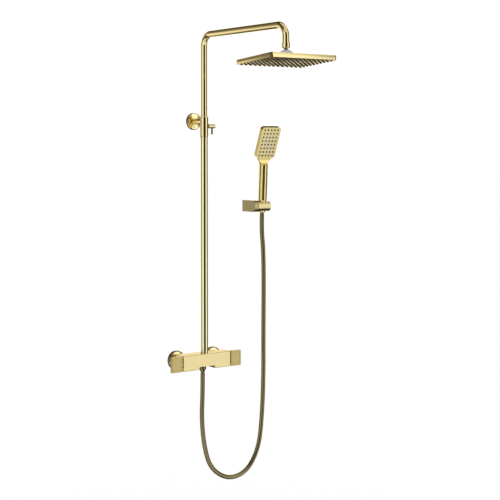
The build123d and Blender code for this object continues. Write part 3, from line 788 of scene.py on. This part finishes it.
def bridge(shape, rings):
    """Faces between rings of corners that follow each other. A ring may be a single corner."""
    around = max(len(ring) for ring in rings)
    for lower, upper in zip(rings, rings[1:]):
        for spoke in range(around):
            beside = (spoke + 1) % around
            spots = ((lower, spoke), (lower, beside), (upper, beside), (upper, spoke))
            corners = [ring[spot % len(ring)] for ring, spot in spots]
            shape.faces.new(list(dict.fromkeys(corners)))


def turn(shape, profile, place, around):
    """Turn a profile of (radius, height) about the Z axis of a place."""
    rings = []
    for radius, height in profile:
        count = around if radius > 0 else 1
        angles = [2 * math.pi * spoke / count for spoke in range(count)]
        spots = [(radius * math.cos(angle), radius * math.sin(angle), height) for angle in angles]
        rings.append([shape.verts.new(place @ Vector(spot)) for spot in spots])
    bridge(shape, rings)


def plate(shape, place, width, depth, corner, levels):
    """Plate with rounded corners through outlines given as (inset, height)."""
    rings = []
    for inset, height in levels:
        radius = max(corner - inset, LEAST_CORNER)
        ring = []
        for quarter, (right, back) in enumerate(QUARTERS):
            x = right * (width / 2 - inset - radius)
            y = back * (depth / 2 - inset - radius)
            for step in range(CORNER_STEPS + 1):
                angle = math.pi / 2 * (quarter + step / CORNER_STEPS)
                spoke = Vector((radius * math.cos(angle), radius * math.sin(angle), 0))
                ring.append(shape.verts.new(place @ (Vector((x, y, height)) + spoke)))
        rings.append(ring)
    bridge(shape, rings)
    for end in (rings[0], rings[-1]):
        shape.faces.new(end)


def finished(name, shape, sharp=SHARP):
    """Mesh of a shape, smooth except across edges sharper than the given degrees."""
    bmesh.ops.remove_doubles(shape, verts=shape.verts, dist=WELD)
    bmesh.ops.dissolve_degenerate(shape, edges=shape.edges, dist=WELD)
    bmesh.ops.recalc_face_normals(shape, faces=shape.faces)
    mesh = bpy.data.meshes.new(name)
    shape.to_mesh(mesh)
    shape.free()
    mesh.shade_smooth()
    mesh.set_sharp_from_angle(angle=math.radians(sharp))
    return mesh


def paint_shade(mesh, chosen):
    """Give the chosen faces the darker finish gold shadowed, as painted shade and painted dark reflection."""
    mesh.materials.append(finish("gold shadowed"))
    for face in mesh.polygons:
        if chosen(face):
            face.material_index = 1


def softened(node, width):
    """Copy of a CAD node's mesh with its sharp edges rounded."""
    shape = bmesh.new()
    shape.from_mesh(NODES[node].data)
    bmesh.ops.remove_doubles(shape, verts=shape.verts, dist=SOLID_WELD)
    flat = math.radians(FLAT)
    bmesh.ops.dissolve_limit(shape, angle_limit=flat, verts=shape.verts, edges=shape.edges)
    edges = [edge for edge in shape.edges if len(edge.link_faces) == 2]
    edges = [edge for edge in edges if edge.calc_face_angle() > math.radians(BEVEL)]
    bmesh.ops.bevel(
        shape,
        geom=edges,
        offset=width,
        segments=BEVEL_STEPS,
        profile=0.5,
        affect="EDGES",
        clamp_overlap=True,
    )
    return shape


def nozzle_profile(radius, length):
    """Profile of a soft nozzle of the given size."""
    return [(radius * across, length * along) for across, along in NOZZLE]


def grid(columns, rows, pitch):
    """Places of a square grid about its middle."""
    for column in range(columns):
        for row in range(rows):
            yield (column - (columns - 1) / 2) * pitch, (row - (rows - 1) / 2) * pitch


# Soft edges

# Nodes shown with their sharp edges rounded: node, rounding and finish
SOFT_EDGES = (
    ("mixer_body", 1.6 * MM, "gold brushed bar"),
    ("temperature_handle", 0.5 * MM, "gold brushed handle"),
    ("flow_handle", 0.5 * MM, "gold brushed handle"),
    ("holder_block", 0.8 * MM, "gold brushed block"),
    ("cradle", 0.5 * MM, "gold satin cradle"),
    ("lock_knob", 0.5 * MM, "gold satin cradle"),
    ("swivel_nut", 0.6 * MM, "gold tube along Z"),
    # The hose nut takes the dark hose finish as painted shade, as if in the shadow of the bar's notch
    ("hose_nut", 0.5 * MM, "gold hose"),
    ("hose_cone", 0.4 * MM, "gold tube along Z"),
    ("riser_collar", 0.5 * MM, "gold tube along Z"),
    ("riser_tube", 0.3 * MM, "gold pale riser"),
    ("arm_tube", 0.3 * MM, "gold tube along Y"),
    ("bracket_rose", 0.3 * MM, "gold polished"),
    ("inlet_rose_hot", 0.3 * MM, "gold polished"),
    ("inlet_rose_cold", 0.3 * MM, "gold polished"),
    ("bracket_stem", 0.4 * MM, "gold tube along Y"),
    ("inlet_nut_hot", 0.6 * MM, "gold polished"),
    ("inlet_nut_cold", 0.6 * MM, "gold polished"),
    ("head_boss", 1.0 * MM, "pale moulding"),
    ("handset_body", 1.2 * MM, "gold satin grip"),
)

# Inside of the bar's notch, which gets painted shade: lowest and highest corner
NOTCH = (Vector((-0.0325, -0.0875, -0.0268)), Vector((0.0325, -0.0430, -0.0165)))

# Wall discs whose rims get painted shade standing in for a dark reflection: their faces look less than this share
# along Y
ROSES = ("bracket_rose", "inlet_rose_hot", "inlet_rose_cold")
ROSE_RIM = 0.75


class SHOWER_OT_soft_edges(bpy.types.Operator):
    """Bar, paddles, tubes, discs, nuts, holder, boss and hand shower with rounded edges"""

    bl_idname = "shower.soft_edges"
    bl_label = "Soft edges"

    def execute(self, context):
        for node, width, material in SOFT_EDGES:
            name = node + "_soft"
            mesh = finished(name, softened(node, width))
            body = NODES[node]["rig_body"]
            piece = place_piece(name, mesh, material, body, SLOTS[node], [node])
            piece.modifiers.new("flat faces stay flat", "WEIGHTED_NORMAL").keep_sharp = True
        # Painted shade inside the bar's notch, where light would hardly reach
        low, high = NOTCH
        bar = bpy.data.objects["mixer_body_soft"].data
        paint_shade(bar, lambda face: all(a < b < c for a, b, c in zip(low, face.center, high)))
        # Painted dark reflection on the rims of the wall discs
        for node in ROSES:
            rose = bpy.data.objects[node + "_soft"].data
            paint_shade(rose, lambda face: abs(face.normal.y) < ROSE_RIM)
        return {"FINISHED"}


# Pipe threads

# Half-inch pipe thread of the wall connectors, its two ends in Y and its mesh
THREAD_RADIUS = 10.48 * MM
THREAD_RIDGE = 0.45 * MM
THREAD_PITCH = 1.814 * MM
THREAD_ENDS = (2.5 * MM, 17.6 * MM)
THREAD_SPOKES = 40
THREAD_STEPS = 6
INLET_SPACING = 150 * MM


def thread_mesh(name, x):
    """Thin sleeve with a ridge that winds along Y."""
    shape = bmesh.new()
    start, end = THREAD_ENDS
    count = round((end - start) / THREAD_PITCH * THREAD_STEPS)
    rings = []
    for index in range(-1, count + 2):
        inside = index < 0 or index > count
        y = start + min(max(index, 0), count) * THREAD_PITCH / THREAD_STEPS
        ring = []
        for spoke in range(THREAD_SPOKES):
            phase = (index / THREAD_STEPS + spoke / THREAD_SPOKES) % 1.0
            rise = -THREAD_RIDGE if inside else THREAD_RIDGE * (1 - abs(2 * phase - 1))
            angle = 2 * math.pi * spoke / THREAD_SPOKES
            out = Vector((math.cos(angle), 0, math.sin(angle))) * (THREAD_RADIUS + rise)
            ring.append(shape.verts.new(Vector((x, y, 0)) + out))
        rings.append(ring)
    bridge(shape, rings + rings[:1])
    return finished(name, shape)


class SHOWER_OT_threads(bpy.types.Operator):
    """Pipe threads of the wall connectors"""

    bl_idname = "shower.threads"
    bl_label = "Threads"

    def execute(self, context):
        for side, water in ((-1, "hot"), (1, "cold")):
            name = "inlet_thread_" + water
            mesh = thread_mesh(name, side * INLET_SPACING / 2)
            place_piece(name, mesh, "bare brass", "column", SLOTS["inlet_connector_" + water])
        return {"FINISHED"}


# Rain head

# Fine gap at the seam of cover and tray
SEAM_GAP = 0.2 * MM

# Middle of the rims' rounding, as a share of it from either face
RIM_MIDDLE = 0.3

# Corners of the head, which get a painted dark reflection: their faces look more than this share along X and Y
CORNER_TURN = 0.2

# Nozzles across and along, and the mat behind them: how much smaller it is than the tray, and
# its two faces above the tray's underside
RAIN_GRID = (14, 10)
RAIN_SPOKES = 14
RAIN_MAT_LESS = 11 * MM
RAIN_MAT_FACES = (1.6 * MM, 3.4 * MM)


class SHOWER_OT_rain_head(bpy.types.Operator):
    """Rain head: cover, tray and nozzle mat"""

    bl_idname = "shower.rain_head"
    bl_label = "Rain head"

    def execute(self, context):
        head = context.scene.shower_head
        level = Matrix.Translation(head.ball) @ Matrix.Rotation(-head.tilt, 4, "X")
        middle = RIM_MIDDLE * head.edge
        rim = [(head.edge, 0.0), (middle, middle), (0.0, head.edge)]
        cover = [(SEAM_GAP, head.seam), (0.0, head.seam + SEAM_GAP)]
        cover += [(inset, head.top - down) for inset, down in reversed(rim)]
        tray = [(inset, head.bottom + up) for inset, up in rim]
        tray += [(0.0, head.seam - SEAM_GAP), (SEAM_GAP, head.seam)]
        halves = (("rain_cover", cover, "head_cover"), ("rain_tray", tray, "head_face"))
        for name, levels, node in halves:
            shape = bmesh.new()
            plate(shape, level, head.width, head.depth, head.corner, levels)
            mesh = finished(name, shape, sharp=RIM_SHARP)
            place_piece(name, mesh, "gold brushed head", "head", "gold_steel", [node])
            # Painted dark reflection on the rounded corners of cover and tray
            paint_shade(mesh, lambda face: min(abs(face.normal.x), abs(face.normal.y)) > CORNER_TURN)
        shape = bmesh.new()
        mat = [(0.0, head.bottom + up) for up in RAIN_MAT_FACES]
        width, depth = head.width - RAIN_MAT_LESS, head.depth - RAIN_MAT_LESS
        plate(shape, level, width, depth, head.corner, mat)
        tip = nozzle_profile(head.nozzle_radius, head.nozzle_length)
        down = Matrix.Rotation(math.pi, 4, "X")
        for x, y in grid(*RAIN_GRID, head.nozzle_pitch):
            place = level @ Matrix.Translation((x, y, head.bottom)) @ down
            turn(shape, tip, place, RAIN_SPOKES)
        name = "rain_nozzles"
        mesh = finished(name, shape)
        place_piece(name, mesh, "nozzle silicone", "head", "nozzle_silicone", ["head_nozzles"])
        return {"FINISHED"}


# Hand shower

# Nozzles across and along, the mist nozzles between them, and their spokes
HAND_GRID = (5, 8)
HAND_SPOKES = 16
MIST_GRIDS = ((2, 4), (3, 3))
MIST_SPOKES = 12
MIST_SHARE = 0.5

# Mat behind the nozzles: width, length and corner, and its two faces from the plate's front
HAND_MAT = (70.8 * MM, 106.8 * MM, 5.5 * MM)
HAND_MAT_FACES = (-3.2 * MM, -1.8 * MM)

# Ring round the grip: its width, how far it stands out, and its sloping edges
RING_WIDTH = 1.2 * MM
RING_RISE = 0.15 * MM
RING_EDGE = 0.2 * MM
RING_SPOKES = 64


class SHOWER_OT_hand_shower(bpy.types.Operator):
    """Hand shower's nozzles, its small mist nozzles and the ring round the grip"""

    bl_idname = "shower.hand_shower"
    bl_label = "Hand shower"

    def execute(self, context):
        hand = context.scene.shower_handset
        grip = Matrix.Translation(hand.foot) @ Matrix.Rotation(hand.lean, 4, "X")
        bend = grip @ Vector((0, 0, hand.bend))
        facing = Matrix.Rotation(math.pi / 2 + hand.plate_lean, 4, "X")
        spray = Matrix.Translation(bend) @ facing
        front = spray @ Matrix.Translation((0, hand.plate_middle, hand.plate_front))
        shape = bmesh.new()
        plate(shape, front, *HAND_MAT, [(0.0, height) for height in HAND_MAT_FACES])
        tip = nozzle_profile(hand.nozzle_radius, hand.nozzle_length)
        for x, y in grid(*HAND_GRID, hand.nozzle_pitch):
            turn(shape, tip, front @ Matrix.Translation((x, y, 0)), HAND_SPOKES)
        name = "hand_nozzles"
        mesh = finished(name, shape)
        node = "handset_nozzles"
        place_piece(name, mesh, "nozzle silicone", "handset", "nozzle_silicone", [node])
        shape = bmesh.new()
        tip = nozzle_profile(hand.mist_radius, MIST_SHARE * hand.nozzle_length)
        for columns, rows in MIST_GRIDS:
            for x, y in grid(columns, rows, hand.nozzle_pitch):
                turn(shape, tip, front @ Matrix.Translation((x, y, 0)), MIST_SPOKES)
        mesh = finished("mist_nozzles", shape)
        place_piece("mist_nozzles", mesh, "mist moulding", "handset", "nozzle_silicone")
        shape = bmesh.new()
        low, high = hand.grip_ring, hand.grip_ring + RING_WIDTH
        inner, outer = hand.grip_radius - RING_EDGE, hand.grip_radius + RING_RISE
        ring = [(inner, low), (outer, low + RING_EDGE), (outer, high - RING_EDGE), (inner, high)]
        turn(shape, ring + ring[:1], grip, RING_SPOKES)
        mesh = finished("grip_ring", shape)
        place_piece("grip_ring", mesh, "gold satin grip", "handset", "gold_plastic")
        return {"FINISHED"}


# Hose

# Route of the hose from the bar's outlet to the hand shower
HOSE_ROUTE = [
    (0.0, -0.058, -0.038),
    (0.0, -0.058, -0.110),
    (-0.005, -0.058, -0.209),
    (0.006, -0.058, -0.310),
    (0.033, -0.058, -0.392),
    (0.107, -0.059, -0.441),
    (0.188, -0.060, -0.424),
    (0.238, -0.061, -0.343),
    (0.251, -0.062, -0.226),
    (0.257, -0.062, -0.080),
    (0.256, -0.062, 0.085),
    (0.257, -0.062, 0.245),
    (0.256, -0.061, 0.370),
    (0.250, -0.05721, 0.44811),
    (0.250, -0.06035, 0.50803),
]

# Points that are read from the spline for each of the route's
LINE_STEPS = 48

# Steps of the mesh in one turn of the sleeve, and round the hose
SLEEVE_STEPS = 6
HOSE_SPOKES = 24

# Power that makes the groove between turns narrow
GROOVE_POWER = 5

# The rising run lies to the right of this X, and from this height on it follows the cradle
RISING_SIDE = 0.20
SWAY_HEIGHT = 0.24

# The hose follows the hand shower fully from this far below its end
NUT_LENGTH = 0.01


def route_points(route):
    """Points along the smooth line whose control points are the route's."""
    curve = bpy.data.curves.new("hose line", "CURVE")
    curve.dimensions = "3D"
    spline = curve.splines.new("NURBS")
    spline.points.add(len(route) - 1)
    for point, place in zip(spline.points, route):
        point.co = (*place, 1.0)
    spline.order_u = 3
    spline.use_endpoint_u = True
    spline.resolution_u = LINE_STEPS
    holder = bpy.data.objects.new("hose line", curve)
    line = bpy.data.meshes.new_from_object(holder)
    points = [vertex.co.copy() for vertex in line.vertices]
    bpy.data.objects.remove(holder)
    bpy.data.curves.remove(curve)
    bpy.data.meshes.remove(line)
    return points


def even_steps(points, step):
    """The same line in equal steps of about the given length."""
    lengths = [0.0]
    for before, after in zip(points, points[1:]):
        lengths.append(lengths[-1] + (after - before).length)
    count = round(lengths[-1] / step)
    found, index = [], 0
    for number in range(count + 1):
        goal = lengths[-1] * number / count
        while index < len(points) - 2 and lengths[index + 1] < goal:
            index += 1
        run = lengths[index + 1] - lengths[index]
        found.append(points[index].lerp(points[index + 1], (goal - lengths[index]) / run))
    return found


def spiral_mesh(name, line, first, total, hose):
    """Tube round the line with a groove that winds along it. first is the number of
    steps that come before the line, so that the groove runs on from piece to piece,
    and total the number in the whole hose, which slims down to its nuts."""
    step = (line[1] - line[0]).length
    mesh = bpy.data.meshes.new(name)
    shape = bmesh.new()
    side = Vector((0, -1, 0))
    rings = []
    for index, centre in enumerate(line):
        ahead = line[min(index + 1, len(line) - 1)] - line[max(index - 1, 0)]
        ahead.normalize()
        side = (side - ahead * side.dot(ahead)).normalized()
        across = ahead.cross(side)
        near_end = min(first + index, total - first - index) * step
        crest = hose.crest * min(1.0, near_end / (2 * hose.radius))
        ring = []
        for spoke in range(HOSE_SPOKES):
            share = spoke / HOSE_SPOKES
            phase = ((first + index) * step / hose.pitch + share) % 1.0
            dip = max(0.0, math.cos(2 * math.pi * phase)) ** GROOVE_POWER
            radius = hose.radius + crest - hose.groove * dip
            angle = 2 * math.pi * share
            out = side * math.cos(angle) + across * math.sin(angle)
            ring.append(shape.verts.new(centre + out * radius))
        rings.append(ring)
    bridge(shape, rings)
    for end in (reversed(rings[0]), rings[-1]):
        shape.faces.new(list(end))
    shape.to_mesh(mesh)
    shape.free()
    mesh.shade_smooth()
    return mesh


class SHOWER_OT_hose(bpy.types.Operator):
    """Hose with its spiral sleeve, in two runs that meet below the hand shower"""

    bl_idname = "shower.hose"
    bl_label = "Hose"

    def execute(self, context):
        hose = context.scene.shower_hose
        line = even_steps(route_points(HOSE_ROUTE), hose.pitch / SLEEVE_STEPS)
        rising = (i for i, p in enumerate(line) if p.x > RISING_SIDE and p.z > hose.split_height)
        split = next(rising)
        join, end = line[split], line[-1]
        lower, upper = line[: split + 1], line[split:]
        pieces = []
        for name, run, first in (("hose_loop", lower, 0), ("hose_riser", upper, split)):
            mesh = spiral_mesh(name, run, first, len(line) - 1, hose)
            pieces.append(place_piece(name, mesh, "gold hose", None, "hose"))
        loop, riser = pieces
        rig.replaces(loop, "hose_tube")
        sway = (RISING_SIDE, join.y, SWAY_HEIGHT)
        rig.blend(loop, "column", "cradle", start=sway, end=join)
        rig.blend(riser, "cradle", "handset", start=join, end=end - Vector((0, 0, NUT_LENGTH)))
        shown = bpy.data.objects
        for piece, run, on_it in (
            (loop, lower, [shown["hose_nut_soft"], NODES["outlet_washer"]]),
            (riser, upper, [shown["hose_cone_soft"], NODES["cone_washer"]]),
        ):
            length = sum((b - a).length for a, b in zip(run, run[1:]))
            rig.cord(
                piece,
                exit=run[0],
                length=length,
                diameter=2 * hose.radius,
                far_end="object",
                stiffness="medium",
                lay="hanging",
                path=run,
                with_pieces=on_it,
            )
        return {"FINISHED"}


# Finishes of the CAD nodes

# Finish, and the nodes that have it
NODE_FINISHES = (
    ("gold brushed bar", "mixer_body"),
    ("gold brushed head", "head_cover", "head_face"),
    ("gold brushed block", "holder_block"),
    # Lock pin and ball stud take painted shade, as if in the shadow of the knob and the head
    ("gold shadowed", "lock_pin", "ball_stud"),
    ("gold brushed handle", "temperature_handle", "flow_handle"),
    ("gold satin face", "handset_face"),
    ("gold satin grip", "handset_body"),
    ("gold satin cradle", "cradle", "lock_knob"),
    ("gold pale riser", "riser_tube"),
    ("gold tube along Z", "riser_collar", "hose_cone", "hose_nut", "swivel_nut"),
    ("gold tube along Y", "arm_tube", "bracket_stem"),
    ("gold polished", "inlet_rose_hot", "inlet_rose_cold", "bracket_rose"),
    ("gold polished", "inlet_nut_hot", "inlet_nut_cold", "hose_outlet"),
    ("pale moulding", "head_boss"),
    ("nozzle silicone", "head_nozzles", "handset_nozzles"),
    ("bare brass", "inlet_connector_hot", "inlet_connector_cold"),
    ("bare brass", "inlet_tail_hot", "inlet_tail_cold"),
    ("bare brass", "temperature_cartridge_nut", "flow_cartridge_nut"),
    ("bare brass", "temperature_spindle", "flow_spindle", "arm_fitting"),
    ("bare brass", "handset_inlet", "bracket_wall_plate"),
    ("bare steel", "temperature_handle_screw", "flow_handle_screw"),
    ("bare steel", "holder_wall_plate", "cradle_pivot"),
    ("seal rubber", "inlet_filter_hot", "inlet_filter_cold", "outlet_washer"),
    ("seal rubber", "riser_gasket", "collar_seal", "cone_washer"),
    ("grey moulding", "temperature_cartridge", "flow_cartridge"),
    ("grey moulding", "clamp_pad", "guide_bush", "ball_seat", "cradle_washer"),
)


class SHOWER_OT_finishes(bpy.types.Operator):
    """Finishes of the CAD nodes"""

    bl_idname = "shower.finishes"
    bl_label = "Finishes"

    def execute(self, context):
        for material, *nodes in NODE_FINISHES:
            for node in nodes:
                NODES[node].data.materials.clear()
                NODES[node].data.materials.append(finish(material))
        return {"FINISHED"}


# Stage

# Screens that the metal reflects: bearing from square to the wall, positive to the right,
# and height above the level, both in degrees, with the softness of the edge and the light
SCREENS = (
    ((15, 47), (-44, 38), 6, (1.52, 1.60, 1.98)),
    ((-105, -50), (-40, 30), 6, (1.14, 1.24, 1.62)),
    ((-180, -145), (-30, 8), 5, (1.10, 1.12, 1.24)),
    ((-180, -116), (-34, 34), 8, (0.16, 0.15, 0.14)),
    ((122, 172), (-19, 24), 8, (1.60, 1.45, 1.10)),
    ((56, 118), (-30, 40), 10, (0.16, 0.15, 0.13)),
    ((-62, 12), (-90, -14), 3, (0.88, 0.90, 1.02)),
    ((54, 116), (-46, -16), 4, (0.70, 0.72, 0.80)),
    ((-118, -62), (-90, -42), 5, (0.95, 1.00, 1.22)),
    ((108, 180), (-90, -48), 4, (0.70, 0.72, 0.80)),
    ((-64, 118), (36, 62), 6, (0.88, 0.90, 1.02)),
    ((-180, 180), (62, 90), 10, (0.86, 0.86, 0.94)),
)
FULL_TURN = 360

# Light of the dim room between the screens, which only reflections show, and of the ground
ROOM = (0.035, 0.025, 0.009)
GROUND = (1.08, 1.08, 1.08, 1.0)

# Colour and corners of the floor
FLOOR_TONE = (0.93, 0.93, 0.93, 1.0)
FLOOR_SPOKES = 96

# Width of the camera's sensor in millimetres
SENSOR_WIDTH = 36.0


def soft_step(tree, angle, low, high, rising):
    """Value that goes smoothly from 0 to 1 between two angles in degrees, or back."""
    step = tree.nodes.new("ShaderNodeMapRange")
    step.interpolation_type = "SMOOTHSTEP"
    step.inputs["From Min"].default_value = math.radians(low)
    step.inputs["From Max"].default_value = math.radians(high)
    step.inputs["To Min"].default_value = 0.0 if rising else 1.0
    step.inputs["To Max"].default_value = 1.0 if rising else 0.0
    feed(tree, step.inputs["Value"], angle)
    return step.outputs["Result"]


def band(tree, angle, low, high, edge):
    """1 between two angles in degrees, and 0 outside their soft edges."""
    begins = soft_step(tree, angle, low - edge, low + edge, True)
    ends = soft_step(tree, angle, high - edge, high + edge, False)
    return math_node(tree, "MULTIPLY", begins, ends)


def studio_world():
    """White ground, and for reflections a dim warm studio with bright screens round it."""
    world = bpy.data.worlds.new("studio")
    world.use_nodes = True
    tree = world.node_tree
    tree.nodes.clear()
    parts = tree.nodes.new("ShaderNodeSeparateXYZ")
    feed(tree, parts.inputs[0], tree.nodes.new("ShaderNodeTexCoord").outputs["Generated"])
    toward = math_node(tree, "MULTIPLY", parts.outputs["Y"], -1.0)
    bearing = math_node(tree, "ARCTAN2", parts.outputs["X"], toward)
    height = math_node(tree, "ARCSINE", parts.outputs["Z"])
    light = ROOM
    for (left, right), (low, high), edge, colour in SCREENS:
        screen = band(tree, height, low, high, edge)
        if right - left < FULL_TURN:
            sides = band(tree, bearing, left, right, edge)
            screen = math_node(tree, "MULTIPLY", screen, sides)
        lit = tree.nodes.new("ShaderNodeVectorMath")
        lit.operation = "MULTIPLY_ADD"
        for socket, value in zip(lit.inputs, (screen, colour, light)):
            feed(tree, socket, value)
        light = lit.outputs[0]
    glossy = tree.nodes.new("ShaderNodeLightPath").outputs["Is Glossy Ray"]
    ground = tree.nodes.new("ShaderNodeBackground")
    feed(tree, ground.inputs["Color"], mixed(tree, glossy, GROUND, light))
    out = tree.nodes.new("ShaderNodeOutputWorld")
    feed(tree, out.inputs["Surface"], ground.outputs[0])
    return world


class SHOWER_OT_stage(bpy.types.Operator):
    """Pale floor, studio light and the camera"""

    bl_idname = "shower.stage"
    bl_label = "Stage"

    def execute(self, context):
        scene = context.scene
        stage = scene.shower_stage
        scene.world = studio_world()
        scene.view_settings.view_transform = "Standard"
        shape = bmesh.new()
        radius = stage.floor_radius
        bmesh.ops.create_circle(shape, cap_ends=True, segments=FLOOR_SPOKES, radius=radius)
        mesh = bpy.data.meshes.new("floor")
        shape.to_mesh(mesh)
        shape.free()
        floor = bpy.data.objects.new("floor", mesh)
        floor.location.z = stage.floor_height
        scene.collection.objects.link(floor)
        pale, _, shader = new_material("pale floor")
        shader.inputs["Base Color"].default_value = FLOOR_TONE
        shader.inputs["Roughness"].default_value = 1.0
        shader.inputs["Specular IOR Level"].default_value = 0.0
        mesh.materials.append(pale)
        floor.visible_glossy = False
        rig.stage(floor)
        lens = bpy.data.cameras.new("camera")
        lens.lens = stage.camera_lens
        lens.sensor_width = SENSOR_WIDTH
        camera = bpy.data.objects.new("camera", lens)
        camera.location = stage.camera_place
        dip, roll, swing = stage.camera_dip, stage.camera_roll, stage.camera_turn
        camera.rotation_euler = (math.pi / 2 - dip, -roll, -swing)
        scene.collection.objects.link(camera)
        scene.camera = camera
        return {"FINISHED"}


# Add-on


class SHOWER_PT_pieces(bpy.types.Panel):
    """Pieces of the shower column"""

    bl_idname = "SHOWER_PT_pieces"
    bl_label = "Shower column"
    bl_space_type = "VIEW_3D"
    bl_region_type = "UI"
    bl_category = "Shower"

    def draw(self, context):
        for operator in OPERATORS:
            self.layout.operator(operator.bl_idname)
        scene = context.scene
        groups = (scene.shower_finish, scene.shower_head, scene.shower_handset, scene.shower_hose)
        for group in (*groups, scene.shower_stage):
            for name in group.bl_rna.properties.keys():
                if name not in {"rna_type", "name"}:
                    self.layout.prop(group, name)


OPERATORS = (
    SHOWER_OT_stage,
    SHOWER_OT_finishes,
    SHOWER_OT_soft_edges,
    SHOWER_OT_threads,
    SHOWER_OT_rain_head,
    SHOWER_OT_hand_shower,
    SHOWER_OT_hose,
)
GROUPS = (ShowerStage, ShowerFinish, ShowerHead, ShowerHandset, ShowerHose)


def register():
    for group in GROUPS:
        bpy.utils.register_class(group)
    for operator in OPERATORS:
        bpy.utils.register_class(operator)
    bpy.utils.register_class(SHOWER_PT_pieces)
    bpy.types.Scene.shower_stage = bpy.props.PointerProperty(type=ShowerStage)
    bpy.types.Scene.shower_finish = bpy.props.PointerProperty(type=ShowerFinish)
    bpy.types.Scene.shower_head = bpy.props.PointerProperty(type=ShowerHead)
    bpy.types.Scene.shower_handset = bpy.props.PointerProperty(type=ShowerHandset)
    bpy.types.Scene.shower_hose = bpy.props.PointerProperty(type=ShowerHose)


def unregister():
    del bpy.types.Scene.shower_hose
    del bpy.types.Scene.shower_handset
    del bpy.types.Scene.shower_head
    del bpy.types.Scene.shower_finish
    del bpy.types.Scene.shower_stage
    bpy.utils.unregister_class(SHOWER_PT_pieces)
    for operator in reversed(OPERATORS):
        bpy.utils.unregister_class(operator)
    for group in reversed(GROUPS):
        bpy.utils.unregister_class(group)


def main():
    register()
    bpy.ops.shower.stage()
    bpy.ops.shower.finishes()
    bpy.ops.shower.soft_edges()
    bpy.ops.shower.threads()
    bpy.ops.shower.rain_head()
    bpy.ops.shower.hand_shower()
    bpy.ops.shower.hose()
    boxes = {"cad": CAD_BOX, "visual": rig.bounds()}
    sizes = {name: [list(corner) for corner in box] for name, box in boxes.items()}
    with open("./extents.json", "w") as file:
        json.dump(sizes, file)


if __name__ == "__main__":
    main()
